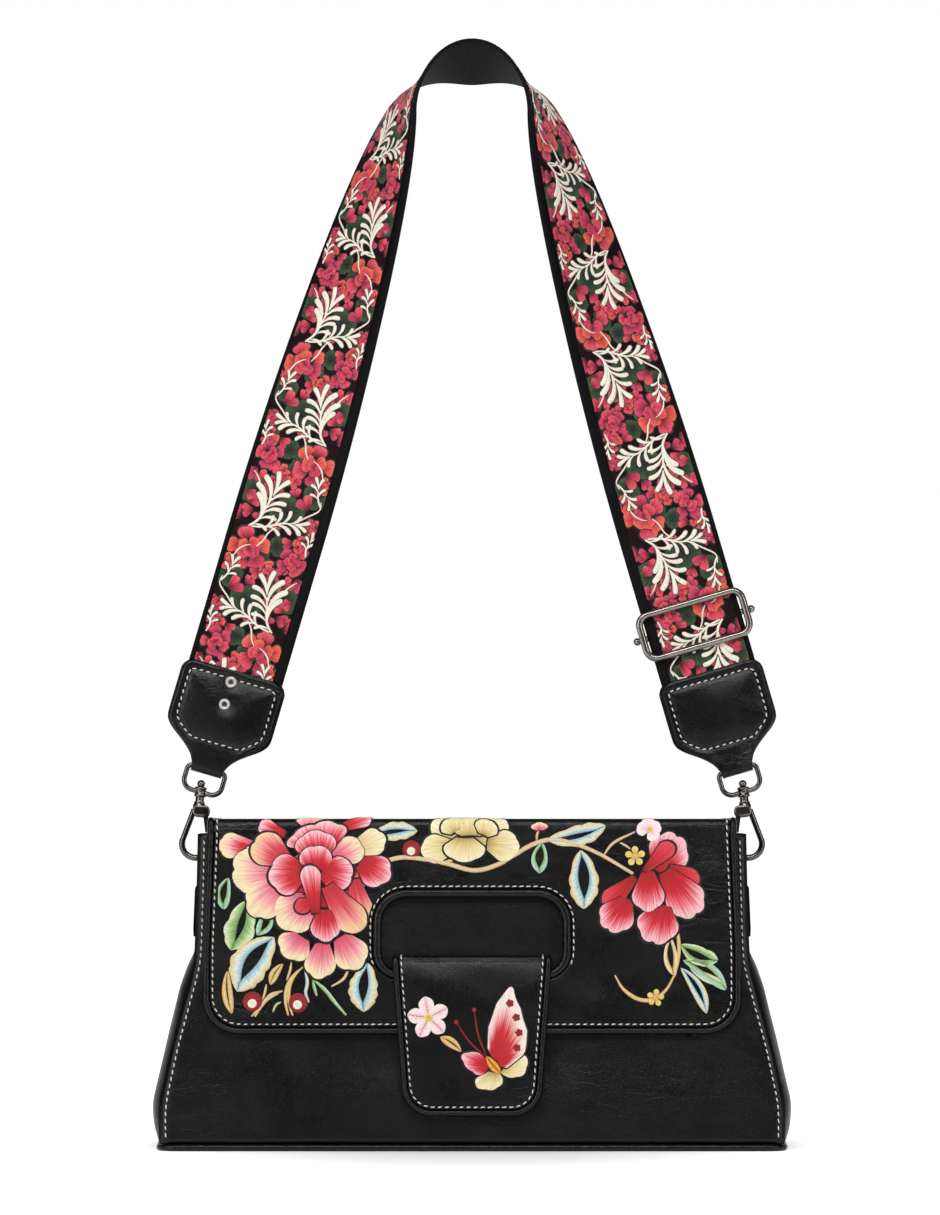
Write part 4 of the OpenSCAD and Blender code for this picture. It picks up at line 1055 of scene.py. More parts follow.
def addSatin(work, inner, outer, level, colour, soft=0.8, closed=False, rows=patchRows, hand=1):
    if colour not in work["silks"]:
        work["silks"].append(colour)
    cols = len(inner)
    across = [0]
    for j in range(1, cols):
        across.append(across[-1] + max((outer[j] - outer[j - 1]).length, (inner[j] - inner[j - 1]).length))
    start = len(work["points"])
    for r in rows:
        for j in range(cols):
            p = inner[j].lerp(outer[j], r)
            run = (outer[j] - inner[j]).length
            edge = (1 - r) * run
            if not closed:
                edge = min(edge, r * run, across[j], across[-1] - across[j])
            lift = level * math.sqrt(1 - (1 - min(1, edge / soft)) ** 2) - (0.12 if edge < 1e-4 else 0)
            work["points"].append((p.x, p.y, lift))
            work["uvs"].append((across[j] + start * 0.37, r))
    m = cols // 2
    a, b = outer[m] - inner[m], outer[min(m + 1, cols - 1)] - outer[m] + inner[min(m + 1, cols - 1)] - inner[m]
    faces = gridFaces(len(rows), cols, False, closed, start)
    # A grid face runs along the columns first, so its turn is the reverse of (inner to outer) x (along)
    work["faces"] += faces if (a.x * b.y - a.y * b.x) * hand > 0 else flipped(faces)
    work["slots"] += [work["silks"].index(colour)] * len(faces)


def offTheRim(x, v, lift):
    # Stitching stops beside the padded rim of the hand opening and inside the flap's edge
    if inHand(x, v, hand["rimW"] + hand["clear"]):
        x, v = nearest(handKeepOut, Vector((x, v)))[1]
    most, low = flapHalf(v) - flap["edgeW"] - flap["threadIn"], flap["low"] + flap["edgeW"] + flap["threadIn"]
    return max(-most, min(most, x)), min(topFrom + 2.5, max(low, v)), lift


handKeepOut = handPath(hand["rimW"] + hand["clear"])


def finishWork(name, work, place, body, slot):
    if place is onFlap:
        work["points"] = [offTheRim(*p) for p in work["points"]]
    points = [place(*p) for p in work["points"]]
    makePiece(name, points, work["faces"], [silk[c] for c in work["silks"]], work["uvs"], work["slots"],
              body=body, slot=slot)


def along(angle, length=1.0):
    return Vector((math.cos(angle) * length, math.sin(angle) * length))


def bent(p, root, length, curl):
    if not curl:
        return p
    q = p - root
    return root + spun(q, curl * q.length / max(length, 0.1))


def petal(work, root, degrees, length, width, level, colour, lobes=3, notch=0.12, foot=0.3, wrap=1.7, curl=0.0,
          outline=0.75, soft=0.8, count=20, hand=1, rows=patchRows):
    # A fan of threads from a short root line to a lobed tip
    a = math.radians(degrees)
    forward, side = along(a), along(a - math.pi / 2)
    shares = [-1, -0.97] + [-0.9 + 1.8 * i / count for i in range(count + 1)] + [0.97, 1]
    rise = min(0.6 * length, width * 0.55)
    inner, outer = [], []
    for u in shares:
        lobe = 1 - notch * (1 - abs(math.sin(lobes * math.pi * (u + 1) / 2)) ** 0.6) if lobes else 1
        inner.append(root + side * (u * width * foot / 2))
        spot = side * math.sin(wrap * u) * width / 2 + forward * math.cos(wrap * u) * rise
        outer.append(bent(root + forward * (length - rise) + spot * lobe, root, length, curl))
    if outline:
        centre = root + forward * length * 0.55
        grown = [[p + (p - centre).normalized() * outline for p in line] for line in (inner, outer)]
        addSatin(work, grown[0], grown[1], level - 0.05, "black", soft, rows=rows, hand=hand)
    addSatin(work, inner, outer, level, colour, soft, rows=rows, hand=hand)


def leaf(work, root, tip, width, level, colour, bend=0.0, slit=0.22, teeth=0, count=18):
    # Two halves whose threads lean from the midrib towards the tip
    root, tip = Vector(root), Vector(tip)
    run = tip - root
    side = Vector((run.y, -run.x)).normalized()
    spine = lambda t: root + run * t + side * bend * 4 * t * (1 - t)
    for sign in (-1, 1):
        inner, outer = [], []
        for i in range(count + 1):
            t = i / count
            wide = math.sin(math.pi * t ** 0.85) ** 0.8 if 0 < t < 1 else 0
            wide *= 1 - (0.14 * (1 - abs(math.sin(teeth * math.pi * t))) if teeth else 0)
            gap = slit * width / 2 * math.sin(math.pi * min(1, max(0, (t - 0.1) / 0.72)))
            inner.append(spine(t) + side * sign * gap)
            outer.append(spine(min(1, t + 0.13 * math.sin(math.pi * t))) + side * sign * (width / 2 * wide + 0.02))
        addSatin(work, inner, outer, level, colour, 0.7)


def smoothPath(points, step=1.2):
    points = [Vector(p) for p in points]
    ends = [points[0] * 2 - points[1]] + points + [points[-1] * 2 - points[-2]]
    rough = []
    for p0, p1, p2, p3 in zip(ends, ends[1:], ends[2:], ends[3:]):
        for k in range(12):
            t = k / 12
            rough.append(0.5 * ((2 * p1) + (p2 - p0) * t + (2 * p0 - 5 * p1 + 4 * p2 - p3) * t * t
                                + (3 * p1 - p0 - 3 * p2 + p3) * t ** 3))
    return evenPath(rough + [points[-1]], step)


def stem(work, points, wide, level, colour, hand=1, ends=(0.35, 0.5), soft=0.6, step=1.2):
    path = smoothPath(points, step)
    inner, outer = [], []
    for i, p in enumerate(path):
        t = i / (len(path) - 1)
        half = wide / 2 * mix(mix(ends[0], 1, min(1, t / 0.3)), ends[1], max(0, (t - 0.6) / 0.4))
        inner.append(p + sideways(path, i) * half)
        outer.append(p - sideways(path, i) * half)
    addSatin(work, inner, outer, level, colour, soft, hand=hand)


def disc(work, centre, radius, level, colour, lobes=0, notch=0.0, count=20):
    inner, outer = [], []
    for k in range(count):
        a = 2 * math.pi * k / count
        r = radius * (1 - notch * (1 - abs(math.sin(lobes * a / 2)) ** 0.7)) if lobes else radius
        inner.append(centre + along(a, 0.01))
        outer.append(centre + along(a, r))
    addSatin(work, inner, outer, level, colour, 0.7, closed=True)


def flower(work, centre, radius, count, colour, heart, level, turn):
    for k in range(count):
        degrees = turn + 360 * k / count
        petal(work, centre + along(math.radians(degrees), radius * 0.08), degrees, radius * 0.92,
              radius * 2.9 / count * 1.15, level + 0.02 * (k % 2), colour, 0, 0, 0.3, 1.6, 0, 0, count=10)
    disc(work, centre, radius * 0.25, level + 0.22, heart, count=12)


def berry(work, centre, radius):
    level = 0.55
    disc(work, centre, radius, level, "wine")
    disc(work, centre + Vector((-0.05, -0.2)) * radius, radius * 0.5, level + 0.2, "cream")


def peony():
    # Petals from the back to the front: root, angle, length, width, silk, lobes and outline
    work = newWork()
    level = 0.4
    for x, v, degrees, length, width, colour, lobes, outline in (
            (-63.0, 132.5, 350, 15, 20, "redPink", 0, 0), (-62.0, 122.0, 300, 16, 17, "redPink", 2, 0),
            (-73.8, 124.0, 200, 15, 26, "deepRed", 0, 0), (-71.8, 124.0, 330, 15, 26, "deepRed", 0, 0),
            (-73.3, 129.0, 90, 14, 26, "deepRed", 0, 0), (-102.4, 143.7, 171, 18.4, 13, "pinkCream", 3, 0.4),
            (-102.9, 142.5, 176, 14, 7, "redPink", 0, 0), (-87.9, 149.7, 163, 14.5, 8.5, "redPink", 2, 0.5),
            (-75.8, 152.7, 92, 6, 17, "pinkCream", 2, 0.4), (-63.8, 152.2, 12, 18, 7.5, "redPink", 2, 0.4),
            (-87.9, 132.0, 184, 26.5, 29, "pinkCream", 4, 0.4), (-87.9, 128.0, 214, 24, 20, "pinkCream", 3, 0.5),
            (-76.8, 118.9, 222, 20, 22, "pinkCream", 3, 0.5), (-79.8, 101.7, 238, 14, 18, "pinkCream", 3, 0.4),
            (-70.6, 98.7, 268, 18.5, 16, "pinkCream", 3, 0.4), (-62.3, 101.7, 303, 19, 18, "pinkCream", 3, 0.4),
            (-54.8, 114.9, 318, 10, 13, "redPink", 2, 0.4), (-53.2, 137.1, 326, 17.5, 17, "redPink", 3, 0.5),
            (-57.8, 142.1, 17, 19, 14, "gold", 3, 0.5), (-55.8, 129.0, 283, 21, 12.5, "redCream", 2, 0.5),
            (-65.3, 137.6, 32, 16.5, 15, "pinkCream", 2, 0.5), (-87.9, 137.1, 140, 19.5, 18, "redCream", 2, 0.6),
            (-71.8, 142.6, 92, 13.5, 31, "redPink", 4, 0.6), (-79.3, 132.0, 182, 18, 21, "redPink", 3, 0.6),
            (-73.0, 138.1, 92, 14.5, 21, "redPink", 3, 0.6), (-71.8, 133.0, 350, 17, 18, "redPink", 2, 0.6),
            (-73.3, 132.0, 96, 13.5, 17, "redPink", 2, 0.6), (-68.8, 126.0, 297, 28, 16, "redCream", 0, 0.6),
            (-69.6, 114.9, 268, 17, 15, "redPink", 3, 0.6), (-75.3, 118.9, 215, 10, 8, "deepRed", 0, 0.5),
            (-73.8, 111.8, 91, 24.5, 10, "redPink", 0, 0.6)):
        level += 0.036
        petal(work, Vector((x, v)), degrees + dice.uniform(-3, 3), length, width, level, colour, lobes,
              dice.uniform(0.1, 0.15), 0.4, curl=dice.uniform(-0.2, 0.2), outline=outline)
    finishWork("peonyEmbroidery", work, onFlap, frontBend, "lining")


def flapFoliage():
    work = newWork()
    # Leaves, reeds and berries under the big flower
    leaf(work, (-115.1, 129.5), (-117.3, 114.1), 7, 0.42, "teal", 1.4, 0.42)
    leaf(work, (-106.6, 118.7), (-113.9, 94.9), 15, 0.46, "green", -1.0, 0.2, 3)
    leaf(work, (-96.3, 115.4), (-101.5, 101.9), 7, 0.42, "teal", -1.6, 0.42)
    stem(work, [(-79.8, 87.1), (-84.6, 82.5), (-87.4, 77.2), (-88.1, 70.4), (-86.6, 63.3)], 2, 0.46, "tan")
    stem(work, [(-81.6, 85.6), (-85.4, 80.2), (-86.6, 74.7), (-86.2, 68.7), (-84.4, 63.3)], 1.8, 0.46, "tan")
    stem(work, [(-88.9, 75.7), (-94.9, 73.8), (-99.4, 68.7), (-102.9, 63.0)], 1.9, 0.45, "sand")
    stem(work, [(-90.7, 74.7), (-96.1, 71.9), (-100.7, 67.4), (-104.7, 63.0)], 1.4, 0.44, "tan")
    stem(work, [(-97.1, 79.0), (-97.9, 74.7), (-99.1, 71.1)], 1.3, 0.42, "sand")
    stem(work, [(-85.3, 89.4), (-86.0, 85.1), (-87.7, 80.5)], 1.3, 0.42, "sand")
    stem(work, [(-57.8, 87.8), (-60.6, 81.5), (-67.0, 77.4)], 1.4, 0.44, "sand")
    stem(work, [(-79.0, 85.6), (-77.8, 79.8), (-78.6, 74.7), (-76.8, 69.7)], 1.7, 0.46, "blue")
    stem(work, [(-75.8, 81.5), (-69.6, 76.2), (-64.8, 70.2), (-59.4, 64.0)], 1.9, 0.46, "green")
    stem(work, [(-75.4, 80.5), (-74.4, 76.7), (-73.3, 72.8)], 1.5, 0.44, "green")
    stem(work, [(-89.5, 70.7), (-92.7, 69.0), (-94.3, 64.9)], 1.3, 0.4, "green")
    leaf(work, (-93.5, 101.3), (-111.1, 75.4), 19, 0.55, "blue", 2.4, 0.3, 5)
    leaf(work, (-89.3, 88.6), (-95.3, 78.4), 4.5, 0.5, "tan", 1.0, 0.05)
    leaf(work, (-49.1, 89.0), (-51.2, 65.7), 14.5, 0.55, "blue", 1.2, 0.3, 5)
    leaf(work, (-115.5, 85.4), (-113.4, 64.7), 5.2, 0.5, "tan", 1.2, 0.1)
    berry(work, Vector((-103.6, 70.6)), 4.8)
    berry(work, Vector((-82.2, 70.0)), 4.8)
    berry(work, Vector((-28.6, 142.8)), 4.4)
    # Vine, its leaves and its small flowers
    stem(work, [(-44.0, 136.2), (-31.6, 139.0), (-13.5, 136.4), (1.3, 132.8), (14.1, 136.4), (26.8, 144.2),
                (37.4, 147.4), (49.1, 145.2), (61.0, 140.2), (76.5, 131.0)], 2.3, 0.55, "sand", ends=(1, 0.7))
    stem(work, [(-15.1, 136.4), (-9.5, 137.6), (-5.0, 139.8)], 1.5, 0.5, "sand")
    stem(work, [(30.6, 146.6), (30.8, 149.8), (32.0, 152.6)], 1.3, 0.45, "tan")
    stem(work, [(61.7, 139.0), (66.9, 145.8), (77.5, 151.3)], 1.4, 0.45, "sand")
    stem(work, [(69.8, 146.1), (72.8, 144.5), (75.4, 142.6)], 1.2, 0.42, "sand")
    leaf(work, (-48.5, 148.6), (-25.8, 151.6), 9.4, 0.48, "blue", -1.2, 0.2, 4)
    leaf(work, (35.4, 147.2), (63.4, 154.0), 10.5, 0.48, "blue", 1.6, 0.2, 4)
    leaf(work, (33.2, 146.0), (31.9, 131.3), 7.8, 0.46, "teal", 0.6, 0.5)
    leaf(work, (51.4, 142.6), (52.9, 114.4), 14.6, 0.5, "blue", -0.8, 0.36, 4)
    petal(work, Vector((32.0, 151.4)), 92, 4.6, 9, 0.5, "pinkCream", 3, outline=0.4)
    flower(work, Vector((77.2, 139.5)), 4.9, 5, "yellow", "tan", 0.5, 20)
    for turn in (172, 20, 95, -50):
        petal(work, Vector((83.7, 152.0)), turn, 6.6, 7.5, 0.46 + 0.0004 * turn, "pale", 2, outline=0.3)
    disc(work, Vector((84.0, 152.3)), 1.7, 0.72, "yellow", count=12)
    # Leaves and curls under the red blossom
    stem(work, [(96.7, 107.4), (97.8, 97.9), (97.4, 90.8), (95.8, 82.5)], 1.9, 0.5, "tan")
    stem(work, [(67.5, 83.1), (71.6, 76.4), (78.7, 71.7), (86.0, 71.7), (91.9, 76.4), (95.5, 82.8)], 2.0, 0.5, "tan")
    flower(work, Vector((86.7, 72.4)), 4.2, 5, "yellow", "tan", 0.6, 10)
    leaf(work, (93.8, 101.2), (95.5, 82.8), 6.6, 0.5, "gold", 0.8, 0.4)
    leaf(work, (98.6, 97.7), (116.5, 89.9), 9.6, 0.5, "green", 1.6, 0.3, 2)
    leaf(work, (99.7, 90.2), (120.3, 75.9), 7.8, 0.5, "teal", -2.4, 0.3)
    leaf(work, (102.9, 86.7), (119.5, 79.0), 4.4, 0.46, "blue", 1.0, 0.1)
    leaf(work, (98.6, 86.7), (110.9, 64.8), 6.6, 0.52, "blue", -2.0, 0.28)
    finishWork("foliageEmbroidery", work, onFlap, frontBend, "lining")


def sideBlossoms():
    # Cream blossom on the vine and half-open red blossom at its end, petals from the back to the front
    work = newWork()
    for k, (x, v, degrees, length, width, lobes) in enumerate((
            (-4.1, 147.4, 152, 17.5, 15.8, 3), (0.7, 147.4, 26, 18.6, 15.8, 3), (-8.0, 144.6, 190, 17, 14.7, 3),
            (6.8, 145.6, 352, 16.4, 15.8, 3), (-0.5, 148.8, 90, 10.1, 23.1, 3), (-7.6, 150.6, 118, 8.5, 12.6, 2),
            (5.2, 149.2, 66, 8.5, 12.6, 2), (-3.4, 148.7, 268, 12.7, 21, 3))):
        petal(work, Vector((x, v)), degrees, length, width, 0.42 + 0.045 * k, "gold", lobes, 0.09, 0.35)
    finishWork("creamBlossomEmbroidery", work, onFlap, frontBend, "lining")
    work = newWork()
    for k, (x, v, degrees, length, width, colour, lobes) in enumerate((
            (87.6, 131.9, 57, 21, 21, "redPink", 4), (77.5, 129.6, 216, 21, 11, "deepRed", 2),
            (73.4, 119.8, 246, 19, 18, "redPink", 4), (92.3, 134.0, 325, 18, 14, "deepRed", 2),
            (91.1, 132.8, 302, 27, 20, "redPink", 4), (90.5, 116.8, 258, 20.5, 21, "redPink", 4),
            (83.2, 132.8, 272, 20.5, 16.5, "redPink", 3), (81.3, 131.9, 52, 20, 8.5, "deepRed", 0))):
        petal(work, Vector((x, v)), degrees, length, width, 0.42 + 0.05 * k, colour, lobes, 0.13, 0.32,
              curl=dice.uniform(-0.15, 0.15))
    finishWork("redBlossomEmbroidery", work, onFlap, frontBend, "lining")


def addWing(work, root, rim, level, colour, lobes, depth):
    # Threads run from a short root line to a rim drawn through a few points
    path = smoothPath(rim, 1.0)
    last = len(path) - 1
    root = [Vector(p) for p in root]
    inner = [root[0].lerp(root[1], i / last) for i in range(last + 1)]
    outer = [p + sideways(path, i) * -depth * (1 - abs(math.sin(lobes * math.pi * i / last)))
             for i, p in enumerate(path)]
    centre = sum(outer, Vector((0, 0))) / len(path)
    grown = [[p + (p - centre).normalized() * 0.6 for p in line] for line in (inner, outer)]
    addSatin(work, *grown, level - 0.06, "black")
    addSatin(work, inner, outer, level, colour)


def butterfly():
    work = newWork()
    # A small five-pointed flower and a leaf
    heart = Vector((-20.5, 62.7))
    for k in range(5):
        turn = math.radians(100 + 72 * k)
        leaf(work, heart + along(turn, 0.8), heart + along(turn, 10.2), 7.4, 0.46 + 0.03 * (k % 2), "pale", 0, 0, 0, 14)
    disc(work, heart, 2.2, 0.75, "yellow", count=12)
    leaf(work, (-5, 46.6), (-15, 53.6), 4.8, 0.45, "tan", 0.8, 0.1)
    # Wings spread from the body
    for root, rim, level, colour, lobes, depth in (
            ([(13, 37), (16, 41)], [(14, 35.5), (19, 34), (24, 35), (26.5, 38.5), (26.6, 43.5), (24, 46), (18, 44)],
             0.5, "gold", 4, 0.5),
            ([(8, 37.5), (13, 37)], [(5, 36), (1, 33), (1.8, 29.5), (6, 28), (11, 28.4), (14.4, 31), (14.8, 35)],
             0.54, "gold", 4, 0.5),
            ([(9.5, 41), (7.5, 38)], [(4, 46.5), (-3, 46.8), (-5.6, 44.6), (-4.6, 41), (-1.5, 37.6), (2, 35.4),
                                      (6, 35.5)], 0.6, "redPink", 4, 0.6),
            ([(9.6, 43.5), (13, 39.5)], [(7.5, 48), (7.6, 56), (10, 65), (14, 73), (18.6, 77.6), (21, 72), (23.6, 65),
                                         (26, 56), (25.6, 48), (21.5, 42.6), (16, 38.5)], 0.68, "wing", 7, 0.45)):
        addWing(work, root, rim, level, colour, lobes, depth)
    for at in ((17.9, 69.5), (20.9, 62.8), (22.2, 55.6), (21.2, 48.4)):
        disc(work, Vector(at), 2.2, 0.95, "wine", lobes=5, notch=0.2, count=15)
    leaf(work, (6.6, 44.6), (13.6, 36.2), 4.4, 0.98, "orange", 0.3, 0.0)
    head = Vector((7.4, 43.4))
    for tip in (Vector((-7.4, 60.6)), Vector((1.0, 66.4))):
        stem(work, [head, mix(head, tip, 0.5) + Vector((-1.2, -0.6)), tip], 0.95, 0.5, "wine", step=0.8)
        disc(work, tip, 1.15, 0.6, "wine", count=12)
    finishWork("butterflyEmbroidery", work, onTab, "tab", "lining")


peony()
flapFoliage()
sideBlossoms()
butterfly()
print("embroidery stitched")


# The ribbon's flowers repeat every 93 mm, with the other side's half a repeat later
ribbon = {"repeat": 46.5, "shift": 8, "level": 0.2, "edgeIn": 0.3, "endIn": 50}
yarnTones = {
    "rose": ("rose", 0.24, (0.0, "#2e0710"), (0.26, "#8e1832"), (0.5, "#c83349"), (1.0, "#e25c6b")),
    "coral": ("coral", 0.24, (0.0, "#57101a"), (0.3, "#b62f36"), (0.6, "#da4a40"), (1.0, "#e56f52")),
    "pink": ("raspberry", 0.24, (0.0, "#310714"), (0.28, "#861433"), (0.55, "#b9284c"), (1.0, "#d24866")),
    "leafDark": ("dark green", 0.35, (0.0, "#090f0a"), (0.4, "#152a18"), (0.7, "#24421f"), (1.0, "#35582c")),
    "ivory": ("ivory", 0.1, (0.0, "#e4dac4"), (0.5, "#f1ebdc"), (1.0, "#e9e0cc")),
    "maroon": ("maroon", 0.1, (0.0, "#16070a"), (1.0, "#2a0c11")),
}
silk.update((key, satinSilk("jacquard yarn, " + words, stops, ragged, 0.55, 0.5))
            for key, (words, ragged, *stops) in yarnTones.items())
ribbonRows = [0, 0.12, 0.5, 0.88, 1]
frondRows = [0, 0.1, 0.5, 0.9, 1]


def rose(work, at, radius, colours, turn):
    # Loose overlapping petals, no two quite alike
    for ring, (count, root, size, fat) in enumerate(((5, 0.36, 0.68, 1), (4, 0.06, 0.56, 0.72), (2, -0.1, 0.42, 0.72))):
        for k in range(count):
            a = turn + 360 * k / count + ring * 40 + dice.uniform(-14, 14)
            petal(work, at + along(math.radians(a), radius * root), a + dice.uniform(-16, 16),
                  radius * size * dice.uniform(0.92, 1.12), radius * dice.uniform(0.78, 1.0) * fat,
                  ribbon["level"] + 0.04 * (ring + 1) + 0.008 * k, colours[(k + ring) % len(colours)],
                  dice.choice((2, 3)), 0.24, 0.35, 1.6, dice.uniform(-0.4, 0.4), 0.6, 0.4, 9, -1, ribbonRows)


def frond(work, root, degrees, length, width, curl):
    # A plump comma, narrow at its root, with the threads lying across it
    spot, lines, edges = root.copy(), [[], []], [[], []]
    for i in range(11):
        t = i / 10
        way = math.radians(degrees) + curl * t ** 1.3
        half = width * 0.66 * (t ** 1.15 * math.sqrt(max(0.0, 1 - t ** 6)) + 0.1 * (1 - t))
        for line, edge, side in zip(lines, edges, (along(way - math.pi / 2), -along(way - math.pi / 2))):
            line.append(spot + side * half)
            edge.append(spot + side * (half + 0.45))
        spot = spot + along(way, length / 10)
    addSatin(work, *edges, ribbon["level"] + 0.14, "maroon", 0.35, rows=frondRows, hand=-1)
    addSatin(work, *lines, ribbon["level"] + 0.26, "ivory", 0.35, rows=frondRows, hand=-1)


def spray(work, place, side, rib, fronds, wide=1.3, size=1.0):
    # Fronds leave a bent rib like a fountain: each has its share of the rib, its side, its spread and its length
    rib = [place(*spot) for spot in rib]
    path = smoothPath(rib, 1.0)
    stem(work, rib, wide, ribbon["level"] + 0.22, "ivory", -1, (0.7, 0.5), 0.35, 1.4)
    for share, way, paintedShadowGlow, length, width in fronds:
        i = min(len(path) - 2, round(share * (len(path) - 1)))
        ahead = path[i + 1] - path[i]
        frond(work, path[i], math.degrees(math.atan2(ahead.y, ahead.x)) + side * way * paintedShadowGlow, length * size,
              width * size, side * way * math.radians(84 if way else 0))


fountain = [(0.12, -1, 22, 9, 2.2), (0.28, -1, 20, 10, 2.4), (0.3, 1, 14, 15, 3.4), (0.5, 1, 10, 17, 3.7),
            (0.7, 1, 6, 17, 3.7), (0.44, -1, 20, 11, 2.6), (0.62, -1, 18, 12, 2.9), (0.8, -1, 12, 12, 3.0),
            (1, 0.45, 10, 14, 3.3), (1, -0.5, 4, 12.5, 3.1)]
branch = [(0.3, 1, 18, 8, 2.2), (0.48, 1, 16, 9, 2.5), (0.68, 1, 14, 9, 2.5), (0.88, 1, 10, 8, 2.3),
          (0.36, -1, 16, 8.5, 2.3), (0.56, -1, 14, 10, 2.8), (0.78, -1, 10, 10.5, 2.9), (1, 0.3, 10, 9, 2.6),
          (1, -0.6, 10, 8, 2.4)]
tuft = [(0.4, 1, 14, 6.5, 2.0), (0.7, 1, 10, 7.5, 2.3), (0.5, -1, 14, 7.5, 2.3), (1, 0.4, 6, 8, 2.4),
        (1, -0.6, 12, 7.5, 2.2)]
warm, pinks = ("rose", "coral", "pink"), ("pink", "rose")
# Places on the ribbon are (along, across) from the start of a repeat; further numbers are turns and sizes
darkLeaves = ((30, -3.5, 9.5), (36, 14.0, 8.0), (41, -15.0, 7.6), (22, -15.5, 6.4), (5, 3.0, 6.4), (13, -3.5, 5.6))
buds = ((34, -13.5, 50, 8.5), (29, -17.0, 150, 7.5), (25, 1.5, 200, 6.0), (42, 10.5, 60, 6.6), (45, 15.5, 110, 6.4),
        (30, 15.5, 300, 5.8), (24, 17.0, 20, 5.4), (3, 9.0, 110, 6.0), (46, -1.0, 240, 5.8), (1, -17.0, 200, 5.4),
        (38, -6.0, 30, 5.4), (17, -10.0, 120, 6.0), (5, -8.0, 200, 5.6), (21.5, 17.5, 70, 7.0),
        (27, 12.5, 110, 6.4), (35, 18.5, 250, 5.6), (22.5, 8.0, 30, 5.6), (44, 2.5, 330, 6.0), (31, 2.0, 90, 5.4))
roses = ((8.5, 9.6, 11.2, warm, 15), (8.0, -12.4, 7.6, pinks, 50), (16.6, -15.0, 5.2, warm, 5),
         (0.5, -2.5, 5.6, warm, 65), (40.5, 6.0, 5.4, pinks, 20), (26.0, -17.0, 4.6, pinks, 35),
         (0.0, 16.5, 4.8, warm, 80))
sprays = ((((18.5, 13.0), (23.0, 9.0), (29.0, 7.2), (36.0, 5.2)), fountain, 1.3, 1.0),
          (((19.0, 12.0), (20.6, 5.0), (24.5, -3.0), (25.5, -8.5)), branch, 1.2, 1.0),
          (((11.0, -18.0), (15.5, -17.0), (19.5, -18.0)), tuft, 1.0, 0.8),
          (((36.0, -18.5), (40.0, -16.0), (45.0, -14.8)), tuft, 1.0, 0.9))
tendrils = (((9.5, 7.0), (13.5, 4.2), (18.5, 2.4), (22.5, -1.0)),
            ((25.5, -8.5), (29.5, -12.0), (35.0, -18.0), (40.0, -17.5)),
            ((33.0, 6.4), (38.0, 11.5), (42.5, 14.5), (46.0, 18.0)),
            ((2.0, 16.0), (7.0, 14.0), (10.0, 10.5), (10.5, 8.0)))


def addRepeat(work, start, side):
    level = ribbon["level"]
    place = lambda s, x: Vector((start + s + ribbon["shift"], (ribbonFrom + ribbonTo) / 2 + side * x))
    for s, x, r in darkLeaves:
        for j in range(4):
            petal(work, place(s, x), side * (30 + 90 * j + 5 * s), r, r * 1.15, level - 0.04 + 0.01 * j, "leafDark", 3,
                  0.12, 0.3, 1.5, side * 0.3, 0.3, 0.4, 6, -1, ribbonRows)
    for s, x, a, size in buds:
        for part, colour in ((-26, "rose"), (22, "pink")):
            petal(work, place(s, x), side * (a + part), size, size * 0.62, level + 0.02, colour, 2, 0.1, 0.25, 1.4, 0,
                  0.3, 0.4, 6, -1, ribbonRows)
    for s, x, radius, colours, turn in roses:
        rose(work, place(s, x), radius, colours, side * turn)
    for rib, fronds, wide, size in sprays:
        spray(work, place, side, rib, fronds, wide, size)
    for line in tendrils:
        stem(work, [place(*spot) for spot in line], 0.85, level + 0.27, "ivory", -1, soft=0.3, step=1.4)


def ribbonFlowers():
    work = newWork()
    for k in range(-1, round(strapEnd / ribbon["repeat"]) + 1):
        addRepeat(work, k * ribbon["repeat"], 1 if k % 2 else -1)
    # Keep the flowers on the ribbon and clear of its hidden ends
    kept, slots = [], []
    low, high = ribbonFrom + ribbon["edgeIn"], ribbonTo - ribbon["edgeIn"]
    for face, slot in zip(work["faces"], work["slots"]):
        spots = [work["points"][i] for i in face]
        within = all(ribbon["endIn"] < p[0] < strapEnd - ribbon["endIn"] for p in spots)
        if within and any(low < p[1] < high for p in spots):
            kept.append(face)
            slots.append(slot)
    used = sorted({i for face in kept for i in face})
    index = {old: new for new, old in enumerate(used)}
    points = [(p[0], min(high, max(low, p[1])), p[2]) for p in work["points"]]
    work.update(faces=[tuple(index[i] for i in face) for face in kept], slots=slots,
                uvs=[work["uvs"][i] for i in used], points=[points[i] for i in used])
    finishWork("ribbonFlowers", work, lambda s, x, lift: onStrap(s, x, strap["t"] / 2 + lift), "strap", "ribbon")


ribbonFlowers()
print("ribbon patterned")


# Leather ends of the strap: two layers sewn round the webbing, folded round the eye ring's bar
endPatch = {
    "w": 51.4, "h": 51.5, "neckW": 15, "cornerR": 6, "half": 2.45, "edgeHalf": 0.9, "barV": 2.75, "seam": 4.3,
    "loopLow": 15.0, "loopHalf": 12.6, "lip": 1.5, "backFace": 2.15, "dip": 0.42, "dipReach": 0.9, "pad": 1.3,
    "padReach": 6, "swell": 0.3, "rivetDip": 1.1, "rivetReach": 4.4, "creases": 0.35,
}
patchShares = [(0, 0), (0.05, 0), (0.09, 0.044), (0.145, 0.126), (0.2, 0.275), (0.262, 0.495), (0.33, 0.77),
               (0.388, 0.934), (0.43, 0.985), (0.48, 1), (1, 1)]
rivetSpots = [(-0.71, 45.6), (-0.71, 34.5)]


def endHalf(b):
    half = mix(endPatch["neckW"], endPatch["w"], softLookup(patchShares, b / endPatch["h"], 0.02)) / 2
    r, over = endPatch["cornerR"], b - (endPatch["h"] - endPatch["cornerR"])
    return half - (r - math.sqrt(max(0, r * r - over * over)) if over > 0 else 0)


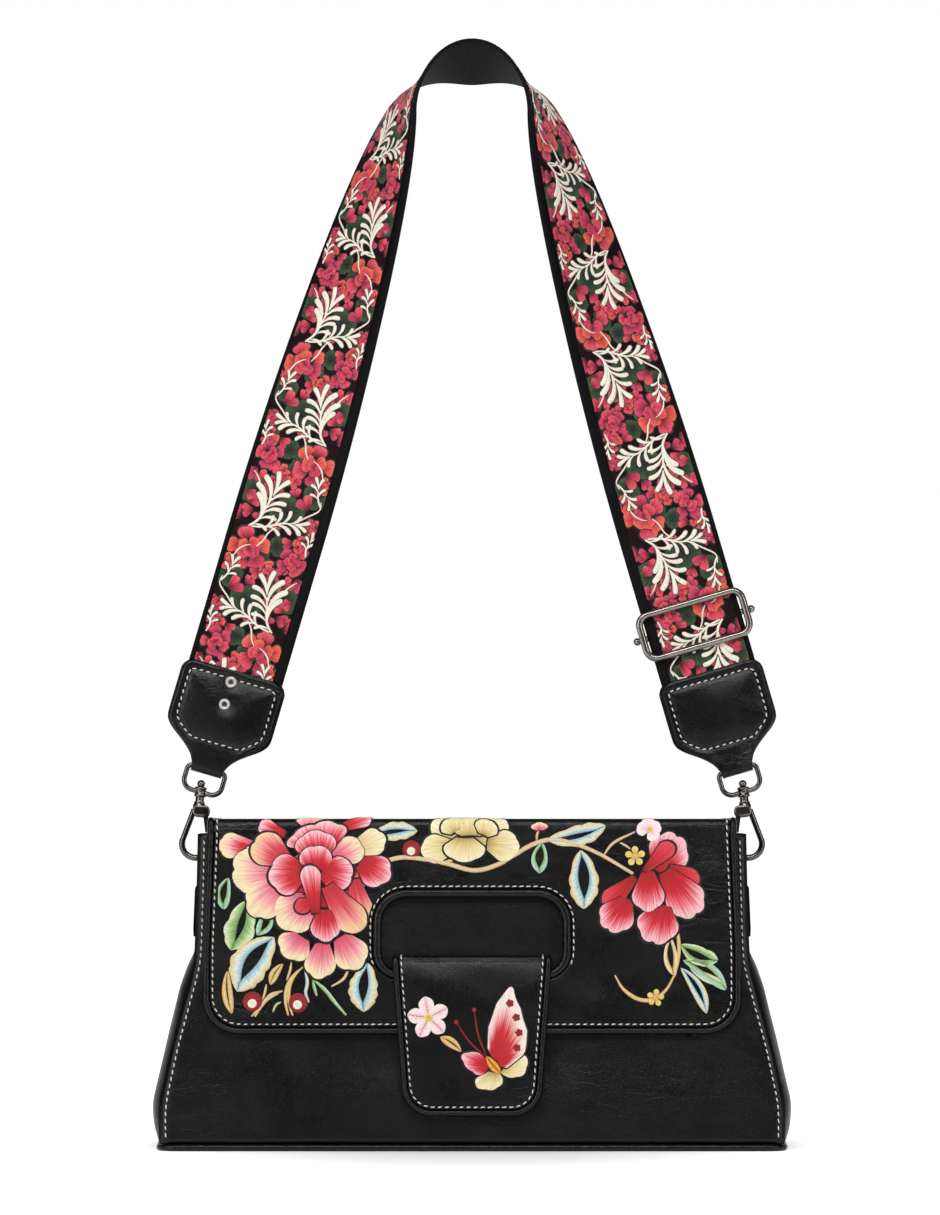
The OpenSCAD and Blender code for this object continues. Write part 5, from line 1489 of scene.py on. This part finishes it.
def endStitchLoop():
    # Round the patch inside its edge, and straight across above the neck
    right = [Vector((endHalf(b), b)) for b in ticks(endPatch["loopLow"], endPatch["h"] - endPatch["cornerR"], 2)]
    top = [Vector((endPatch["w"] / 2, endPatch["h"])), Vector((-endPatch["w"] / 2, endPatch["h"]))]
    left = [Vector((-p.x, p.y)) for p in right[::-1]]
    radii = [0] * len(right) + [endPatch["cornerR"]] * 2 + [0] * len(left)
    loop = insetPath(filletPath(right + top + left, radii, 1.2), endPatch["seam"])
    low, half = endPatch["loopLow"] + 0.4, endPatch["loopHalf"]
    return [Vector((half, low))] + [p for p in loop if p.y > endPatch["loopLow"] + 1] + [Vector((-half, low))]


endLoop = endStitchLoop()
endLoopRough = evenPath(endLoop + [endLoop[0]], 3)


def rounded(low, high, edge, reach):
    # A thickness that rises from low at an edge to high within reach of it
    return mix(low, high, math.sqrt(1 - (1 - min(1, edge / reach)) ** 2))


def endFront(side, a, b):
    # Front face of the patch: a soft edge, a dip along the stitches, a padded middle and creases above the neck
    bar = endPatch["barV"]
    if b < 2 * bar:
        return math.sqrt(max(0, bar ** 2 - (bar - b) ** 2)) if b < bar else bar
    edge = max(0, min(endHalf(b) - abs(a), endPatch["h"] - b + 0.2))
    t = mix(bar, rounded(endPatch["edgeHalf"], endPatch["half"], edge, 2.0), smoothStep(2 * bar, 12, b))
    gap = nearest(endLoopRough, Vector((a, b)))[0]
    t -= endPatch["dip"] * math.exp(-(gap / endPatch["dipReach"]) ** 2)
    if b > endPatch["loopLow"] and edge > endPatch["seam"]:
        t += endPatch["pad"] * (1 - math.exp(-(gap / endPatch["padReach"]) ** 1.3))
        t += endPatch["swell"] * noise.noise(Vector((a / 14 + side * 5, b / 11, 2)))
    if side < 0:
        for rivetA, rivetB in rivetSpots:
            gap = math.hypot(a - rivetA, b - rivetB)
            t -= endPatch["rivetDip"] * math.exp(-(gap / endPatch["rivetReach"]) ** 2)
    crease = endPatch["creases"] * noise.noise(Vector((a / 7 + side * 9, b / 9, 5)))
    return t + crease * smoothStep(20, 8, b) * smoothStep(3, 8, b)


def endLayer(name, rings, replaces=()):
    faces = flipped(tubeFaces(len(rings), len(rings[0]), ends=-1))
    makePiece(name, sum(rings, []), faces, [endLeather], body="strap", replaces=replaces, slot="leather")


def strapEndPieces(side, word):
    h, bar = endPatch["h"], endPatch["barV"]
    rows = [0, 0.15, 0.5, 1.0, 1.8, 2.75, 4, 5.5] + ticks(7, h - 6, 1.1)
    rows += [h - 5, h - 4, h - 3, h - 2, h - 1.2, h - 0.5, h - 0.1]
    us = [-1, -0.985] + [-0.96 + 1.92 * i / 44 for i in range(45)] + [0.985, 1]
    # Front layer, cut narrower on its inner side so that the back layer shows as a lip
    rings = []
    for b in rows:
        low, high = -endHalf(b), endHalf(b)
        lip = endPatch["lip"] * smoothStep(9, 22, b)
        low, high = (low + 0.3 * lip, high - lip) if side < 0 else (low + lip, high - 0.3 * lip)
        line = [mix(low, high, (u + 1) / 2) for u in us]
        ring = []
        for a in line:
            cut = rounded(0.55, 1, max(0, min(a - low, high - a)), 1.3) if b > 6 else 1
            ring.append(inLeg(side, a, -endFront(side, a, b) * cut, b))
        rings.append(ring + [inLeg(side, a, -0.1, b) for a in line[::-1]])
    endLayer(word + "EndFrontLayer", rings, [word + "_strap_end"])
    # Back layer, flat against the webbing and rounded at its edge
    rings = []
    for b in rows:
        half = endHalf(b)
        ring = [inLeg(side, half * u, -0.15 if b < 6 else -0.55, b) for u in us]
        for u in us[::-1]:
            t = rounded(0.7, 2.3, max(0, half * (1 - abs(u))), 1.6) if b > 5.5 else endFront(side, 0, b)
            if 5.5 <= b < 12:
                t = mix(bar, t, smoothStep(5.5, 12, b))
            ring.append(inLeg(side, half * u, t, b))
        rings.append(ring)
    endLayer(word + "EndBackLayer", rings)
    stitchRow(word + "EndStitches", endLoop, lambda a, b, d: inLeg(side, a, -(endFront(side, a, b) + d), b), "strap",
              0.02, True)
    stitchRow(word + "EndBackStitches", endLoop, lambda a, b, d: inLeg(side, a, endPatch["backFace"] + d, b), "strap",
              0.15, True)


rivet = {"capR": 2.85, "seatR": 2.9, "sink": 0.25, "backFace": 2.3, "paintedShadeR": 1.2}


def rivets():
    # Double-cap rivets whose front caps are rolled rings round a sunk middle; the sunk middle gets the darker plating,
    # which is painted shade in the recess
    front = [(0, 0.05), (0.6, 0.05), (0.95, 0.1)]
    front += [(1.95 - 0.9 * math.cos(math.pi * k / 10), 0.25 + 0.85 * math.sin(math.pi * k / 10)) for k in range(11)]
    front += [(rivet["capR"], -0.6), (0, -0.6)]
    back = [(0, 0.75), (0.8, 0.74), (1.6, 0.66), (2.2, 0.52), (2.6, 0.32), (2.8, 0.1), (rivet["capR"], -0.3), (0, -0.3)]
    points, faces, sunk = [], [], []
    around, seatR = 36, rivet["seatR"]
    for a, b in rivetSpots:
        seat = max(endFront(-1, a + seatR * math.cos(k), b + seatR * math.sin(k)) for k in range(7)) - rivet["sink"]
        sunk.append(inLeg(-1, a, -seat - 0.05, b))
        for profile, face, base in ((front, -1, seat), (back, 1, rivet["backFace"])):
            skin = gridFaces(len(profile), around, False, True, len(points))
            faces += skin if face < 0 else flipped(skin)
            for r, z in profile:
                for k in range(around):
                    turn = 2 * math.pi * k / around
                    points.append(inLeg(-1, a + r * math.cos(turn), face * (base + z), b + r * math.sin(turn)))
    # Faces close to the sunk middle take the dark plating: painted shade
    paintedShadeSlots = [int(min((points[f[0]] - centre).length for centre in sunk) < rivet["paintedShadeR"]) for f in faces]
    makePiece("rivetCaps", points, faces, [brightNickel, gunmetal], slots=paintedShadeSlots, body="strap",
              replaces=["end_rivets"], slot="bright_metal")


hook = {
    "headX": 129.43, "headV": 31.353, "tilt": 5.132, "knuckleW": 8.2, "knuckleH": 5.6, "knuckleR": 2.4,
    "knuckleA": -1.25, "knuckleB": -9.05,
}
# Turned profiles are (radius, height on the swivel axis); the knuckle's rounding is (share of outline, height)
bossRims = [(1.26, 2.42), (2.1, 2.52), (2.7, 2.3), (3.0, 1.75), (2.85, 1.2), (2.56, 0.85), (2.56, -0.85),
            (2.85, -1.2), (3.0, -1.75), (2.7, -2.3), (2.1, -2.5), (1.3, -2.44)]
hookBell = [(1.2, -2.62), (1.9, -2.75), (2.2, -3.2), (2.05, -3.8), (2.1, -4.3), (2.5, -5.2), (2.95, -6.2),
            (3.1, -7.0), (2.9, -7.7), (2.3, -8.0)]
knuckleRise = [(0.99, 2.3), (1, 2.6), (0.95, 2.9), (0.82, 3.08), (0.5, 3.15), (0.01, 3.16)]


def inHook(side, a, t, b):
    # The hook's own frame: b runs up its swivel axis and a runs outwards
    tilt = math.radians(hook["tilt"])
    return inStrapFrame(side * (hook["headX"] + a * math.cos(tilt) - b * math.sin(tilt)), t,
                        hook["headV"] + a * math.sin(tilt) + b * math.cos(tilt))


def platedTrim(name, points, rows, turnRound, body):
    faces = gridFaces(rows, len(points) // rows, False, True)
    makePiece(name, points, flipped(faces) if turnRound else faces, [gunmetal], body=body, slot="gunmetal")


def turned(name, side, profile, body):
    turns = [math.pi * k / 12 for k in range(24)]
    points = [inHook(side, r * math.cos(turn), r * math.sin(turn), b) for r, b in profile for turn in turns]
    platedTrim(name, points, len(profile), side > 0, body)


def hookTrim(side, word):
    # Rolled rims of the eye ring's boss, the hook's bell and the rounded cheeks of its gate knuckle
    turned(word + "BossRims", side, bossRims, word + "_eye_ring")
    turned(word + "HookBell", side, hookBell, word + "_hook")
    outline = [Vector((p[0] + hook["knuckleA"], p[1] + hook["knuckleB"]))
               for p in roundRectPath(hook["knuckleW"], hook["knuckleH"], hook["knuckleR"], 0.6)]
    centre = sum(outline, Vector((0, 0))) / len(outline)
    for face, which in ((-1, "Front"), (1, "Rear")):
        points = []
        for share, rise in knuckleRise:
            spots = [centre.lerp(p, share) for p in outline]
            points += [inHook(side, q.x, face * rise, q.y) for q in spots]
        platedTrim(word + "Knuckle" + which, points, len(knuckleRise), side * face > 0, word + "_hook")


ringStrip = {"r": 2.5, "len": 22.6, "w": 11.5, "tilt": 2.5, "barX": 129.46, "barZ": 121.5}
stripShares = ((-1, 0.9), (-0.97, 0.3), (-0.9, 0), (-0.5, 0), (0, 0), (0.5, 0), (0.9, 0), (0.97, 0.3), (1, 0.9))


def ringTab(side, word):
    # A strip of leather folded over the D-ring's bar and sewn to the gusset
    r, length, tilt = ringStrip["r"], ringStrip["len"], math.radians(ringStrip["tilt"])
    section = [(r * math.cos(math.pi * k / 10), r * math.sin(math.pi * k / 10)) for k in range(11)]
    section += [(-r, -length * k / 6) for k in range(1, 6)]
    section += [(-r + 0.3, -length + 0.2), (-r + 0.9, -length), (r - 0.9, -length), (r - 0.3, -length + 0.2)]
    section += [(r, -length * k / 6) for k in range(5, 0, -1)]
    points = []
    for share, inset in stripShares:
        for x, z in section:
            x, z = x * (1 - inset / 5), z - (inset * 0.25 if z > 0 else 0)
            x, z = x * math.cos(tilt) - z * math.sin(tilt), z * math.cos(tilt) + x * math.sin(tilt)
            points.append((side * (ringStrip["barX"] + x), strap["ringY"] + share * ringStrip["w"] / 2,
                           ringStrip["barZ"] + z))
    faces = tubeFaces(len(stripShares), len(section), ends=-1)
    makePiece(word + "RingTabLeather", points, flipped(faces) if side < 0 else faces, [edgeLeather], body="bag_body",
              replaces=[word + "_ring_tab"], slot="leather")


for side, word in sides:
    strapEndPieces(side, word)
    ringTab(side, word)
    hookTrim(side, word)
rivets()
print("strap ends sewn")


# Metal and small CAD nodes keep their shape and get their plating
def dressMetal():
    for name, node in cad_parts.items():
        if name.startswith("slider"):
            material = sliderNickel
        elif name.startswith("snap_") or name.endswith(("_d_ring", "_eye_ring", "_swivel_hook", "_hook_gate")):
            material = gunmetal
        elif name.endswith(("_gate_pin", "_rivets")):
            material = brightNickel
        elif name == "base_board":
            material = boardFibre
        elif name == "lining":
            material = liningCloth
        else:
            material = endLeather
        node.data.materials.clear()
        node.data.materials.append(material)


dressMetal()
print("metal plated")
